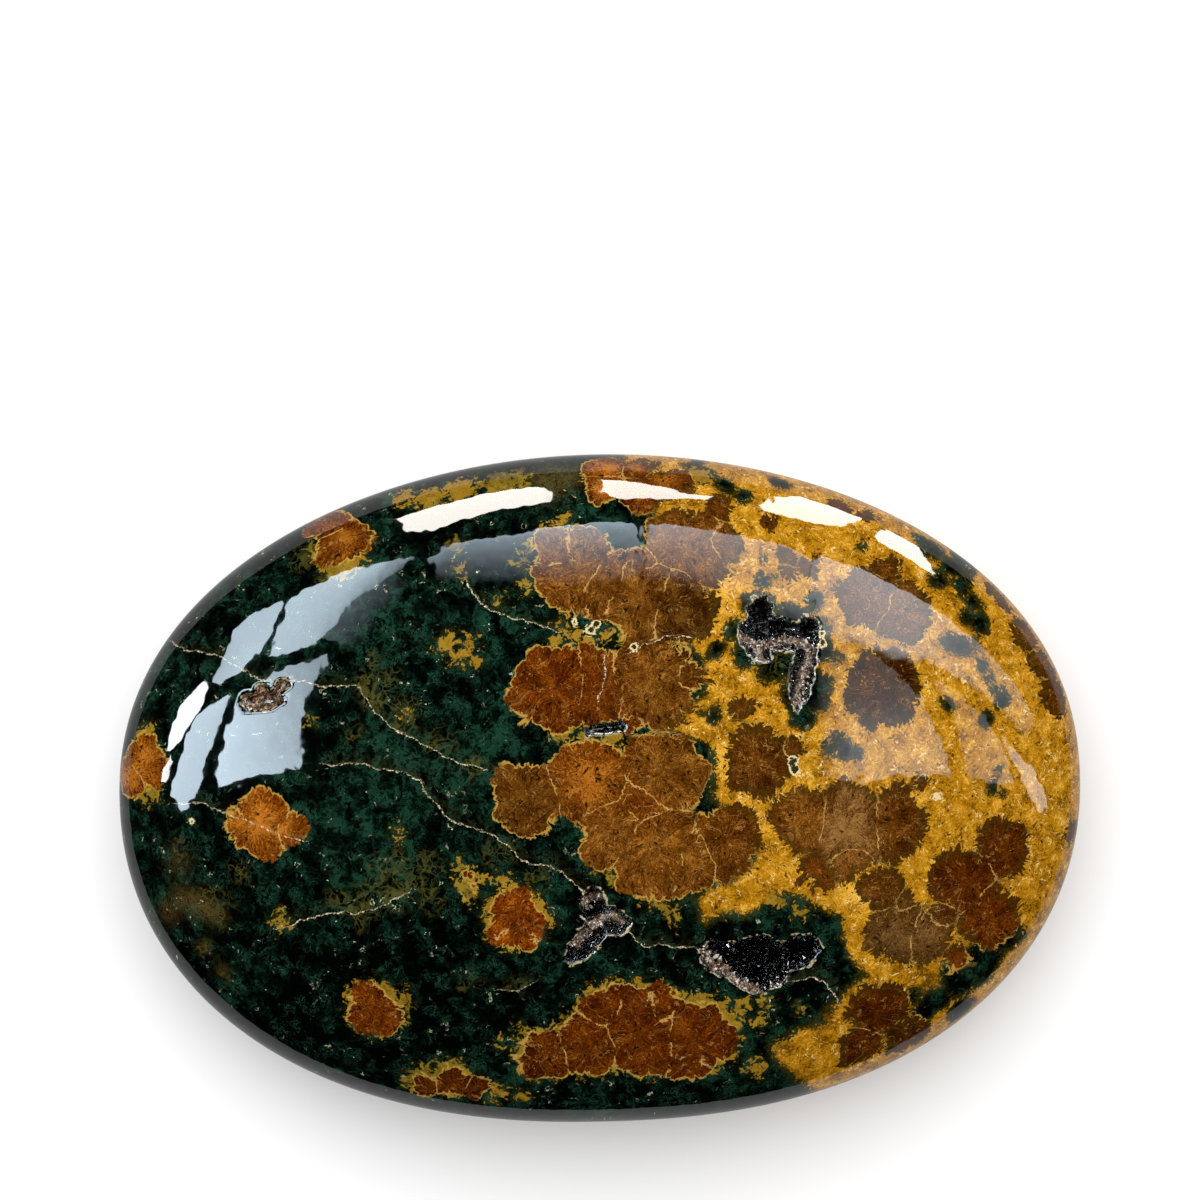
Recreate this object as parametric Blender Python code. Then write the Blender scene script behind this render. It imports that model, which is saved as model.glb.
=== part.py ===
"""Ocean jasper palm stone: one polished pebble whose top opens into hollows lined with quartz points.

Metres, +Z up. X is the long axis and +Y the far long side. The origin is the middle of the small
flat spot that the stone rests on. The pebble is a closed dome over and under an almost elliptical
girdle. Every hollow is made of a few rounded lobes, and the three large hollows hold a thin crust
of quartz whose six-sided points stand on its floor.
"""

import math
import random

import bmesh
import bpy
from mathutils import Matrix, Vector

MM = 0.001

# The pebble
LENGTH = 70.0 * MM
WIDTH = 48.6 * MM
DOME_RISE = 9.6 * MM
FLAT_SPOT_CUT = 0.2 * MM
GIRDLE_HEIGHT = DOME_RISE - FLAT_SPOT_CUT
PLAN_EXPONENT = 2.14
FAR_SIDE_SHARPENING = 0.115
FACES_AROUND = 60
FACES_UP = 28

# The quartz lining
GAP = 0.3 * MM
CRUST_THICKNESS = 0.35 * MM
CRUST_BELOW_POLISH = 0.35 * MM
SMALLEST_HALF_WIDTH = 0.25 * MM
CRYSTAL_SPACING = 0.62 * MM
CRYSTAL_RADIUS = (0.17 * MM, 0.31 * MM)
CRYSTAL_LENGTH = (0.55 * MM, 0.95 * MM)
CRYSTAL_ROOT = 0.22 * MM
CRYSTAL_SIDES = 6
PRISM_SHARE = 0.6
PRISM_TAPER = 0.92
SCATTER = 0.2
SIDEWAYS_LEAN = 0.35
UPWARD_LEAN = 0.5
STEEPEST_RISE = 0.2
TIP_BELOW_POLISH = 0.12 * MM
SLOPE_STEP = 0.05 * MM

# Lobes of each hollow, in millimetres and degrees:
# x, y of the mouth's middle, half length, half width, depth, turn of the long way from +X
UPPER_HOLLOW = (
    (11.72, 12.35, 1.30, 0.95, 2.1, 78),
    (13.20, 10.90, 2.55, 1.15, 2.5, -8),
    (11.30, 10.40, 1.60, 0.85, 1.5, -58),
    (15.05, 10.85, 1.30, 0.90, 2.2, 82),
    (14.75, 8.40, 2.80, 0.80, 1.8, 77),
)
LOWER_HOLLOW = (
    (8.45, -12.00, 1.60, 1.20, 2.2, -20),
    (10.95, -12.55, 2.35, 2.05, 3.3, -5),
    (13.70, -11.85, 1.85, 1.15, 2.4, 22),
)
MIDDLE_HOLLOW = (
    (-0.60, -8.15, 1.45, 0.90, 1.9, 95),
    (0.60, -9.10, 1.35, 0.95, 1.6, -20),
    (-1.15, -10.45, 2.15, 0.85, 1.5, 48),
)
LEFT_PIT = (
    (-24.10, 7.05, 1.40, 0.66, 0.9, 2),
    (-24.05, 7.70, 0.60, 0.50, 0.7, 90),
    (-22.65, 8.05, 0.95, 0.36, 0.6, 45),
)
CENTRE_SLIT = (
    (0.35, 4.55, 1.45, 0.40, 0.8, 8),
    (1.35, 4.70, 0.55, 0.45, 0.7, 0),
)
LINED_HOLLOWS = {"upper": UPPER_HOLLOW, "lower": LOWER_HOLLOW, "middle": MIDDLE_HOLLOW}
BARE_PITS = (LEFT_PIT, CENTRE_SLIT)

# Finish: colour, roughness
JASPER = ((0.045, 0.075, 0.035), 0.08)
QUARTZ = ((0.62, 0.60, 0.55), 0.15)


def clear_scene():
    for old in list(bpy.data.objects):
        bpy.data.objects.remove(old)


def new_collection(name):
    collection = bpy.data.collections.new(name)
    bpy.context.scene.collection.children.link(collection)
    return collection


def new_material(name, colour, roughness):
    material = bpy.data.materials.new(name)
    material.use_nodes = True
    shader = material.node_tree.nodes["Principled BSDF"]
    shader.inputs["Base Color"].default_value = (*colour, 1.0)
    shader.inputs["Roughness"].default_value = roughness
    shader.inputs["Metallic"].default_value = 0.0
    return material


def new_object(name, bm, collection):
    mesh = bpy.data.meshes.new(name)
    bm.to_mesh(mesh)
    bm.free()
    made = bpy.data.objects.new(name, mesh)
    collection.objects.link(made)
    return made


def as_helper(made):
    made.hide_render = True
    made.display_type = "WIRE"
    return made


def plan_radius(angle):
    """Distance from the middle to the girdle in that direction, seen from above."""
    power = PLAN_EXPONENT - FAR_SIDE_SHARPENING * math.sin(angle)
    across = abs(math.cos(angle) / (LENGTH / 2)) ** power
    deep = abs(math.sin(angle) / (WIDTH / 2)) ** power
    return (across + deep) ** (-1 / power)


def dome_height(x, y):
    """Height of the polished top over a point of the plan."""
    share = math.hypot(x, y) / plan_radius(math.atan2(y, x))
    return GIRDLE_HEIGHT + DOME_RISE * math.sqrt(max(0.0, 1 - share * share))


def pebble():
    """A sphere stretched onto the girdle's outline, with the resting spot cut flat at the bottom."""
    bm = bmesh.new()
    bmesh.ops.create_uvsphere(bm, u_segments=FACES_AROUND, v_segments=FACES_UP, radius=1.0)
    for vert in bm.verts:
        radius = plan_radius(math.atan2(vert.co.y, vert.co.x))
        vert.co.x *= radius
        vert.co.y *= radius
        vert.co.z = GIRDLE_HEIGHT + DOME_RISE * vert.co.z
    everything = bm.verts[:] + bm.edges[:] + bm.faces[:]
    bmesh.ops.bisect_plane(bm, geom=everything, plane_co=(0, 0, 0), plane_no=(0, 0, -1), clear_outer=True)
    bmesh.ops.holes_fill(bm, edges=[edge for edge in bm.edges if edge.is_boundary], sides=0)
    return bm


class Lobe:
    """One rounded part of a hollow: an ellipsoid whose middle lies on the polished surface."""

    def __init__(self, x, y, half_length, half_width, depth, turn):
        self.x = x * MM
        self.y = y * MM
        self.half_length = half_length * MM
        self.half_width = half_width * MM
        self.depth = depth * MM
        self.turn = math.radians(turn)
        self.z = dome_height(self.x, self.y)

    def matrix(self, inset):
        turn = Matrix.Rotation(self.turn, 4, "Z")
        size = (self.half_length - inset, self.half_width - inset, self.depth - inset)
        return Matrix.Translation((self.x, self.y, self.z)) @ turn @ Matrix.Diagonal((*size, 1.0))

    def room(self, inset):
        return self.half_width - inset

    def floor(self, x, y, inset):
        """Height of the lobe's underside at a point of the plan, or None outside it."""
        dx = x - self.x
        dy = y - self.y
        along = math.cos(self.turn) * dx + math.sin(self.turn) * dy
        aside = math.cos(self.turn) * dy - math.sin(self.turn) * dx
        share = (along / (self.half_length - inset)) ** 2 + (aside / (self.half_width - inset)) ** 2
        if share >= 1:
            return None
        return self.z - (self.depth - inset) * math.sqrt(1 - share)


def lobe_bodies(lobes, inset, subdivisions):
    """The lobes as overlapping closed balls in one mesh, each drawn in by inset."""
    bm = bmesh.new()
    for lobe in lobes:
        if lobe.room(inset) >= SMALLEST_HALF_WIDTH:
            bmesh.ops.create_icosphere(bm, subdivisions=subdivisions, radius=1.0, matrix=lobe.matrix(inset))
    return bm


def lowest_floor(lobes, x, y, inset):
    wide = [lobe for lobe in lobes if lobe.room(inset) >= SMALLEST_HALF_WIDTH]
    found = [lobe.floor(x, y, inset) for lobe in wide]
    return min((height for height in found if height is not None), default=None)


def crust_top(lobes, x, y):
    """Height of the crust's open side: its bowl, or its rim just under the polish."""
    rim = dome_height(x, y) - CRUST_BELOW_POLISH
    bowl = lowest_floor(lobes, x, y, GAP + CRUST_THICKNESS)
    return rim if bowl is None else min(rim, bowl)


def upward_normal(lobes, x, y):
    """Direction straight out of the crust's open side, from its slope along X and Y."""
    rise_x = crust_top(lobes, x + SLOPE_STEP, y) - crust_top(lobes, x - SLOPE_STEP, y)
    rise_y = crust_top(lobes, x, y + SLOPE_STEP) - crust_top(lobes, x, y - SLOPE_STEP)
    return Vector((-rise_x, -rise_y, 2 * SLOPE_STEP)).normalized()


def add_crystal(bm, root, direction, radius, length, spin):
    """A six-sided quartz point: a prism with a pyramid on its free end."""
    turn = direction.to_track_quat("Z", "Y").to_matrix().to_4x4() @ Matrix.Rotation(spin, 4, "Z")
    prism = length * PRISM_SHARE
    middle = Matrix.Translation((0, 0, prism / 2))
    made = bmesh.ops.create_cone(
        bm,
        cap_ends=True,
        segments=CRYSTAL_SIDES,
        radius1=radius,
        radius2=radius * PRISM_TAPER,
        depth=prism,
        matrix=Matrix.Translation(root) @ turn @ middle,
    )
    end = max(
        {face for vert in made["verts"] for face in vert.link_faces},
        key=lambda face: (face.calc_center_median() - root).dot(direction),
    )
    tip = bmesh.ops.poke(bm, faces=[end])["verts"][0]
    tip.co += direction * (length - prism)


def crystal_points(lobes, seed):
    """Quartz points over the crust, on a triangular lattice with a little scatter."""
    chance = random.Random(seed)
    bm = bmesh.new()
    reach = max(lobe.half_length for lobe in lobes)
    low_x = min(lobe.x for lobe in lobes) - reach
    high_x = max(lobe.x for lobe in lobes) + reach
    low_y = min(lobe.y for lobe in lobes) - reach
    high_y = max(lobe.y for lobe in lobes) + reach
    row_step = CRYSTAL_SPACING * math.sqrt(3) / 2
    for row in range(int((high_y - low_y) / row_step) + 1):
        for column in range(int((high_x - low_x) / CRYSTAL_SPACING) + 1):
            x = low_x + (column + 0.5 * (row % 2) + chance.uniform(-SCATTER, SCATTER)) * CRYSTAL_SPACING
            y = low_y + (row + chance.uniform(-SCATTER, SCATTER)) * row_step
            radius = chance.uniform(*CRYSTAL_RADIUS)
            length = chance.uniform(*CRYSTAL_LENGTH)
            spin = chance.uniform(0, math.tau)
            lean_x = chance.uniform(-SIDEWAYS_LEAN, SIDEWAYS_LEAN)
            lean_y = chance.uniform(-SIDEWAYS_LEAN, SIDEWAYS_LEAN)
            if lowest_floor(lobes, x, y, GAP + radius) is None:
                continue
            lean = Vector((lean_x, lean_y, UPWARD_LEAN))
            direction = (upward_normal(lobes, x, y) + lean).normalized()
            root = Vector((x, y, crust_top(lobes, x, y))) - direction * CRYSTAL_ROOT
            headroom = dome_height(x, y) - TIP_BELOW_POLISH - root.z
            length = min(length, headroom / max(direction.z, STEEPEST_RISE))
            tip = root + direction * length
            if length < 2 * CRYSTAL_ROOT or lowest_floor(lobes, tip.x, tip.y, GAP + radius) is None:
                continue
            add_crystal(bm, root, direction, radius, length, spin)
    return bm


def add_boolean(made, name, operation, other):
    """A Boolean against one helper object whose bodies may overlap each other."""
    cut = made.modifiers.new(name, "BOOLEAN")
    cut.operation = operation
    cut.object = other
    cut.solver = "EXACT"
    cut.use_self = True
    return cut


def build_stone(parts, helpers, material, hollows):
    stone = new_object("stone", pebble(), parts)
    stone.data.materials.append(material)
    every_lobe = [lobe for lobes in hollows for lobe in lobes]
    openings = as_helper(new_object("hollow_cutter", lobe_bodies(every_lobe, 0.0, 2), helpers))
    add_boolean(stone, "hollows", "DIFFERENCE", openings)
    return stone


def build_crust(name, lobes, seed, parts, helpers, material):
    """The lining of one hollow: its lobes drawn in by the gap, hollowed out, trimmed under the polish."""
    crust = new_object("quartz_crust_" + name, lobe_bodies(lobes, GAP, 2), parts)
    crust.data.materials.append(material)
    lid = as_helper(new_object("lowered_pebble_" + name, pebble(), helpers))
    lid.location.z = -CRUST_BELOW_POLISH
    inside = as_helper(
        new_object("crust_cutter_" + name, lobe_bodies(lobes, GAP + CRUST_THICKNESS, 2), helpers)
    )
    points = as_helper(new_object("crystal_points_" + name, crystal_points(lobes, seed), helpers))
    add_boolean(crust, "trim under the polish", "INTERSECT", lid)
    add_boolean(crust, "hollow out", "DIFFERENCE", inside)
    add_boolean(crust, "quartz points", "UNION", points)
    return crust


def main():
    clear_scene()
    parts = new_collection("ocean_jasper_palm_stone")
    helpers = new_collection("cutters")
    jasper = new_material("polished_jasper", *JASPER)
    quartz = new_material("quartz", *QUARTZ)
    lined = {name: [Lobe(*row) for row in rows] for name, rows in LINED_HOLLOWS.items()}
    bare = [[Lobe(*row) for row in rows] for rows in BARE_PITS]
    build_stone(parts, helpers, jasper, list(lined.values()) + bare)
    for seed, (name, lobes) in enumerate(lined.items()):
        build_crust(name, lobes, seed, parts, helpers, quartz)


main()
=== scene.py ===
# %% [markdown]
# # A polished ocean jasper palm stone
# The real thing is a beach-smooth oval of orbicular jasper, sawn, tumbled and polished until it
# mirrors the room. Dark green moss, rust-brown orbs and a mustard-yellow ground are one rock, so the
# pattern is colour and not relief. Only the open hollows have shape of their own: they are lined with
# quartz points that stopped growing before the cavity was full.
#
# The stone is rebuilt here as one smooth skin with a procedural material, and each hollow's crystals
# as one crust. Everything is worked out in millimetres and turned into metres when a mesh is made.

# %% Load the solids that the looks are built around
import math

import bpy
import numpy as np
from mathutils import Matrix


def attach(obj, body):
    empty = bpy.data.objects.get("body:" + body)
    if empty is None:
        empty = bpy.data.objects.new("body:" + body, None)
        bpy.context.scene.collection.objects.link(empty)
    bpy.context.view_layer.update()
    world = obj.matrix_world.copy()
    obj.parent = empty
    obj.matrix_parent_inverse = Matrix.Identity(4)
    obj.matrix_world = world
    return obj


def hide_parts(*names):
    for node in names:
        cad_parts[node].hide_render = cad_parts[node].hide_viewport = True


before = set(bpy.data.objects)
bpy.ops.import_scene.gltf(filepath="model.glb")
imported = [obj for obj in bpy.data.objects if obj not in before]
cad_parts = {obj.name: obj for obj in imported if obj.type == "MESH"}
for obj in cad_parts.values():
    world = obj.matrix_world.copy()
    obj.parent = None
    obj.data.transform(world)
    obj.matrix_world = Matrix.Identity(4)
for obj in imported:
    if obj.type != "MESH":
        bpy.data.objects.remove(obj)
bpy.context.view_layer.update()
MM = 0.001
print("solids:", ", ".join(sorted(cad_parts)))

# %% [markdown]
# ## The stone's own shape
# A palm stone is nearly an ellipsoid, but not quite: seen from above its far long side is a little
# more pointed than the near one. A superellipse whose exponent changes from one side to the other
# follows that outline with four numbers. Across, the section is half an ellipse over the girdle and
# half an ellipse under it. A sculpted mesh could do the same, but a formula also gives the exact
# slope anywhere, and the mirror reflections further down need that.

# %% The pebble as formulas
HALF_LENGTH = 35.0
HALF_WIDTH = 24.3
DOME_RISE = 9.6
GIRDLE_HEIGHT = 9.4
PLAN_EXPONENT = 2.14
FAR_SIDE_SHARPENING = 0.115


def plan_radius(angle):
    """Distance from the middle to the girdle, a superellipse: one over the power sum of the cosine
    and sine shares, each to the exponent, and that sum to one over the exponent."""
    power = PLAN_EXPONENT - FAR_SIDE_SHARPENING * np.sin(angle)
    across = np.abs(np.cos(angle) / HALF_LENGTH) ** power
    deep = np.abs(np.sin(angle) / HALF_WIDTH) ** power
    return (across + deep) ** (-1 / power)


def dome_height(x, y):
    """Height of the polished top: girdle height plus the rise times root of one minus share squared,
    where share is the distance from the middle over the girdle's distance that way."""
    share = np.hypot(x, y) / plan_radius(np.arctan2(y, x))
    return GIRDLE_HEIGHT + DOME_RISE * np.sqrt(np.clip(1 - share * share, 0, None))


def slope_of(function, x, y, step=0.02):
    """How fast a function of the plan grows along x and along y, from its central differences."""
    return (
        (function(x + step, y) - function(x - step, y)) / (2 * step),
        (function(x, y + step) - function(x, y - step)) / (2 * step),
    )


def surface_normal(height, x, y, step=0.02):
    """Upward unit normal of a height over the plan: minus both slopes and one, made unit length."""
    rise_x, rise_y = slope_of(height, x, y, step)
    normal = np.stack([-rise_x, -rise_y, np.ones_like(rise_x)], axis=-1)
    return normal / np.linalg.norm(normal, axis=-1, keepdims=True)


print("top of the dome, mm:", round(float(dome_height(0.0, 0.0)), 2))

# %% [markdown]
# ## Where the camera stands
# The photograph looks straight down from about 36 cm with a long lens, and the stone lies below the
# picture's middle, turned a degree and a half. With the camera known, any pixel of the photograph can
# be followed down its ray until it meets the dome. That is how each orb, vein and hollow gets its
# real place in millimetres, instead of being stretched over the stone like a decal.

# %% The camera, and the way from a pixel to the stone
PICTURE_SIDE = 1200
SENSOR_SIDE = 36.0
CAMERA_HEIGHT = 360.0
PIXELS_PER_MM_NEAR_FLOOR = 13.4
HEIGHT_MEASURED_AT = 1.0
FOCAL_PIXELS = PIXELS_PER_MM_NEAR_FLOOR * (CAMERA_HEIGHT - HEIGHT_MEASURED_AT)
STONE_TURN = math.radians(1.5)
STONE_CENTRE_PIXEL = (599.75, 787.84)
RAY_STEPS = 60


def turned(x, y, angle):
    """A point of the plan turned counter-clockwise."""
    return math.cos(angle) * x - math.sin(angle) * y, math.sin(angle) * x + math.cos(angle) * y


pixels_per_mm_at_girdle = FOCAL_PIXELS / (CAMERA_HEIGHT - GIRDLE_HEIGHT)
camera_x, camera_y = turned(
    (PICTURE_SIDE / 2 - STONE_CENTRE_PIXEL[0]) / pixels_per_mm_at_girdle,
    (STONE_CENTRE_PIXEL[1] - PICTURE_SIDE / 2) / pixels_per_mm_at_girdle,
    -STONE_TURN,
)
camera_place = np.array([camera_x, camera_y, CAMERA_HEIGHT])


def on_stone(pixels):
    """Where a pixel's ray meets the top: the ray's height is moved half way to the dome's height
    below it, again and again, until the two agree."""
    pixels = np.asarray(pixels, float)
    ray_x, ray_y = turned(
        (pixels[..., 0] - PICTURE_SIDE / 2) / FOCAL_PIXELS,
        (PICTURE_SIDE / 2 - pixels[..., 1]) / FOCAL_PIXELS,
        -STONE_TURN,
    )
    z = np.full(ray_x.shape, GIRDLE_HEIGHT + DOME_RISE / 2)
    for _ in range(RAY_STEPS):
        x = camera_x + ray_x * (CAMERA_HEIGHT - z)
        y = camera_y + ray_y * (CAMERA_HEIGHT - z)
        z = (z + dome_height(x, y)) / 2
    return np.stack([x, y, z], axis=-1)


def in_picture(points):
    """The pixel at which a point in millimetres shows: its offset from the camera, turned back and
    scaled by the focal length over its depth."""
    scale = FOCAL_PIXELS / (CAMERA_HEIGHT - points[..., 2])
    x, y = turned(points[..., 0] - camera_x, points[..., 1] - camera_y, STONE_TURN)
    return np.stack([PICTURE_SIDE / 2 + scale * x, PICTURE_SIDE / 2 - scale * y], axis=-1)


camera_data = bpy.data.cameras.new("camera")
camera_data.sensor_width = SENSOR_SIDE
camera_data.lens = SENSOR_SIDE * FOCAL_PIXELS / PICTURE_SIDE
camera_data.clip_start = 0.01
camera = bpy.data.objects.new("camera", camera_data)
camera.location = camera_place * MM
camera.rotation_euler = (0, 0, -STONE_TURN)
bpy.context.scene.collection.objects.link(camera)
bpy.context.scene.camera = camera
bpy.context.scene.view_settings.view_transform = "Standard"
print("lens, mm:", round(camera_data.lens, 1), " camera over, mm:", np.round(camera_place, 1).tolist())

# %% [markdown]
# ## Small helpers for materials
# A shader graph written node by node is long and hard to read. This class wraps the few node types
# used below, so that a line of code reads like the formula it stands for. Any value handed in may be
# a number, a colour or another node's output.

# %% A short way to write shader nodes


class Shader:
    """One material's node graph, with a method for each kind of step."""

    def __init__(self, name):
        """A new material whose surface is one Principled shader."""
        self.material = bpy.data.materials.new(name)
        self.material.use_nodes = True
        self.nodes = self.material.node_tree.nodes
        self.links = self.material.node_tree.links
        self.surface = self.nodes["Principled BSDF"]

    def feed(self, socket, value):
        """Links a node's output to a socket, or sets the socket to a number, a vector or a colour."""
        if isinstance(value, bpy.types.NodeSocket):
            self.links.new(value, socket)
        elif isinstance(value, (tuple, list)) and len(socket.default_value) == 4:
            socket.default_value = (*value[:3], 1.0)
        else:
            socket.default_value = value

    def set(self, **values):
        """Sets the surface's own sockets, each named in one word with underscores for spaces."""
        for name, value in values.items():
            self.feed(self.surface.inputs[name.replace("_", " ")], value)

    def node(self, kind, inputs=(), **settings):
        """A new node with its settings made, and its inputs fed by name or number."""
        made = self.nodes.new("ShaderNode" + kind)
        for name, value in settings.items():
            setattr(made, name, value)
        for socket, value in dict(inputs).items():
            self.feed(made.inputs[socket], value)
        return made

    def math(self, operation, *values):
        """Arithmetic on one, two or three numbers."""
        return self.node("Math", enumerate(values), operation=operation).outputs[0]

    def times(self, first, second):
        """The product of two numbers, which for masks means both at once."""
        return self.math("MULTIPLY", first, second)

    def vector(self, operation, *values):
        """Arithmetic on vectors, and the one number that a length gives."""
        places = (0, "Scale") if operation == "SCALE" else (0, 1)
        made = self.node("VectorMath", zip(places, values), operation=operation)
        return made.outputs["Value" if operation == "LENGTH" else "Vector"]

    def attribute(self, name, output="Fac"):
        """What the mesh stores under a name, as a number or as a vector."""
        return self.node("Attribute", attribute_name=name).outputs[output]

    def place(self):
        """The point's own place on the object, in metres."""
        return self.node("TexCoord").outputs["Object"]

    def noise(self, where, per_mm, detail, roughness=0.55, output="Fac"):
        """Smooth noise around a half, with so many bumps to a millimetre and finer ones on top."""
        inputs = {"Vector": where, "Scale": per_mm, "Detail": detail, "Roughness": roughness}
        return self.node("TexNoise", inputs).outputs[output]

    def cells(self, where, per_mm, feature="F1"):
        """The outputs of one cell pattern: Distance and Color, the latter being three chance numbers."""
        return self.node("TexVoronoi", {"Vector": where, "Scale": per_mm}, feature=feature).outputs

    def step(self, value, start, end):
        """Zero before start, one past end, smooth between; start may be the larger one."""
        inputs = {"Value": value, "From Min": start, "From Max": end}
        return self.node("MapRange", inputs, interpolation_type="SMOOTHSTEP").outputs["Result"]

    def mix(self, share, first, second):
        """The first colour where share is zero, the second where it is one."""
        return self.node("Mix", {0: share, 6: first, 7: second}, data_type="RGBA").outputs[2]

    def blend(self, share, first, second):
        """The same for vectors."""
        return self.node("Mix", {0: share, 4: first, 5: second}, data_type="VECTOR").outputs[1]

    def parts(self, kind, value):
        """The separate numbers of a colour or a vector."""
        return self.node(kind, {0: value}).outputs


print("shader helper ready")

# %% A short way to make mesh objects


def link(made):
    """Puts an object in the scene."""
    bpy.context.scene.collection.objects.link(made)
    return made


def mesh_object(name, points_mm, faces, material):
    """A mesh piece from points in millimetres and lists of corners, shaded smooth."""
    mesh = bpy.data.meshes.new(name)
    mesh.from_pydata((np.asarray(points_mm) * MM).tolist(), [], faces)
    mesh.materials.append(material)
    mesh.shade_smooth()
    return link(bpy.data.objects.new(name, mesh))


def grid_faces(rows, columns):
    """Quads of a grid whose points are stored row by row, as an array of four corners each."""
    first = np.arange(rows * columns).reshape(rows, columns)
    corners = (first[:-1, :-1], first[:-1, 1:], first[1:, 1:], first[1:, :-1])
    return np.stack(corners, axis=-1).reshape(-1, 4)


print("quads in a grid of 3 by 4 points:", len(grid_faces(3, 4)))

# %% [markdown]
# ## A pale floor and soft light
# The stone lies on white paper in a dark room with tall windows. The paper is a large disc. In the
# photograph the rim mirrors only a grey sheet's worth of it, so mirror rays skip the disc and meet a
# smaller, greyer sheet that nothing else sees. The soft light is a wide panel beyond the far side,
# with a pale sky that only lights and never shows in the polish, because the top mirrors a dark ceiling.

# %% The paper under the stone
FLOOR_RADIUS = 900.0
FLOOR_WHITE = 0.83
MIRRORED_SHEET_SIDE = 150.0
MIRRORED_SHEET_SHIFT = 14.0
MIRRORED_SHEET_WHITE = 0.40
SHEET_LIFT = 0.02


def paper(name, outline_x, outline_y, height, white):
    """A flat sheet of paper from its outline."""
    shader = Shader(name)
    shader.set(Base_Color=(white, white, white), Roughness=0.9, Specular_IOR_Level=0.0)
    points = np.stack([outline_x, outline_y, np.full_like(outline_x, height)], axis=-1)
    made = mesh_object(name, points, [list(range(len(points)))], shader.material)
    return made


def unseen_but_mirrored(made):
    """Leaves a stage object to mirror rays alone."""
    made.visible_camera = made.visible_diffuse = made.visible_shadow = False


turn = np.linspace(0, 2 * np.pi, 64, endpoint=False)
floor = paper("floor", FLOOR_RADIUS * np.cos(turn), FLOOR_RADIUS * np.sin(turn), 0.0, FLOOR_WHITE)
floor.visible_glossy = False
side = MIRRORED_SHEET_SIDE / 2 * np.array([-1.0, 1.0, 1.0, -1.0])
ahead = MIRRORED_SHEET_SIDE / 2 * np.array([-1.0, -1.0, 1.0, 1.0])
ahead += MIRRORED_SHEET_SHIFT
mirrored_sheet = paper("mirrored_sheet", side, ahead, SHEET_LIFT, MIRRORED_SHEET_WHITE)
unseen_but_mirrored(mirrored_sheet)

print("floor, metres across:", 2 * FLOOR_RADIUS * MM)

# %% The room: a pale sky for scattered light, and darkness for the polish to mirror
SKY_LIGHT = 0.54
DARK_ROOM = 0.006
BACKGROUND = 0.95

world = bpy.data.worlds.new("room")
bpy.context.scene.world = world
world.use_nodes = True
sky = world.node_tree.nodes["Background"]
path = world.node_tree.nodes.new("ShaderNodeLightPath")


def room_light(kind, brightness, otherwise):
    """The given brightness for one kind of ray, and the other brightness for the rest."""
    chosen = world.node_tree.nodes.new("ShaderNodeMix")
    world.node_tree.links.new(path.outputs[kind], chosen.inputs["Factor"])
    chosen.inputs["B"].default_value = brightness
    if isinstance(otherwise, bpy.types.NodeSocket):
        world.node_tree.links.new(otherwise, chosen.inputs["A"])
    else:
        chosen.inputs["A"].default_value = otherwise
    return chosen.outputs["Result"]


scattered = room_light("Is Diffuse Ray", SKY_LIGHT, DARK_ROOM)
seen = room_light("Is Camera Ray", BACKGROUND, scattered)
world.node_tree.links.new(seen, sky.inputs["Strength"])
sky.inputs["Color"].default_value = (1.0, 1.0, 1.0, 1.0)
print("room light set")

# %% The soft panel


def soft_light(name, azimuth, elevation, distance_mm, size_mm, watts):
    """A square panel that faces the stone. It lights and casts soft shadows, and stays out of the polish."""
    light = bpy.data.lights.new(name, "AREA")
    light.size = size_mm * MM
    light.energy = watts
    made = link(bpy.data.objects.new(name, light))
    flat = distance_mm * math.cos(math.radians(elevation))
    made.location = (
        flat * math.cos(math.radians(azimuth)) * MM,
        flat * math.sin(math.radians(azimuth)) * MM,
        distance_mm * math.sin(math.radians(elevation)) * MM,
    )
    made.rotation_euler = made.location.to_track_quat("Z", "Y").to_euler()
    made.visible_glossy = False
    return made


soft_light("soft_panel", azimuth=98, elevation=65, distance_mm=900, size_mm=1400, watts=15.5)
print("soft light placed")

# %% [markdown]
# ## What the polish mirrors
# A polished dome shows the room's windows as bent bright shapes, and they say more about the surface
# than its colour does. Each pane is placed by the pixels at which its corners show: the camera's ray
# to that pixel is mirrored at the dome and followed out to the pane's distance. The panes light only
# mirror rays. The wide pale veil over the far shoulder is the same kind of panel with a glow that
# fades towards the ceiling, so it is a grid with the glow stored at each point.

# %% From a pixel to the window seen in the polish there
PANE_DISTANCE = 450.0
PANE_ROWS = 16
TINTS = {"cool": (0.71, 0.87, 1.0), "soft": (0.88, 0.94, 1.0), "warm": (1.0, 0.95, 0.88)}


def mirrored_place(pixels, distance):
    """The point of the room seen in the polish at a pixel: from the stone along the camera's ray
    minus twice its share along the surface normal."""
    places = on_stone(pixels)
    rays = places - camera_place
    rays /= np.linalg.norm(rays, axis=-1, keepdims=True)
    normals = surface_normal(dome_height, places[..., 0], places[..., 1])
    bounced = rays - 2 * (rays * normals).sum(-1, keepdims=True) * normals
    return places + bounced * distance


def spread(values, count):
    """A short list of numbers or pixels read at count even steps."""
    values = np.atleast_1d(np.array(values, float))
    if values.ndim == 1:
        return np.interp(np.linspace(0, 1, count), np.linspace(0, 1, len(values)), values)
    return np.stack([spread(column, count) for column in values.T], axis=-1)


def glow_shader(name, colour):
    """Black glass that glows as strongly as the mesh's glow attribute says."""
    shader = Shader(name)
    glow = shader.attribute("glow")
    shader.set(Base_Color=(0.0, 0.0, 0.0), Emission_Color=colour, Emission_Strength=glow)
    shader.material.cycles.emission_sampling = "NONE"
    return shader.material


GLOWS = {tint: glow_shader("window_" + tint, colour) for tint, colour in TINTS.items()}


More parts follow.
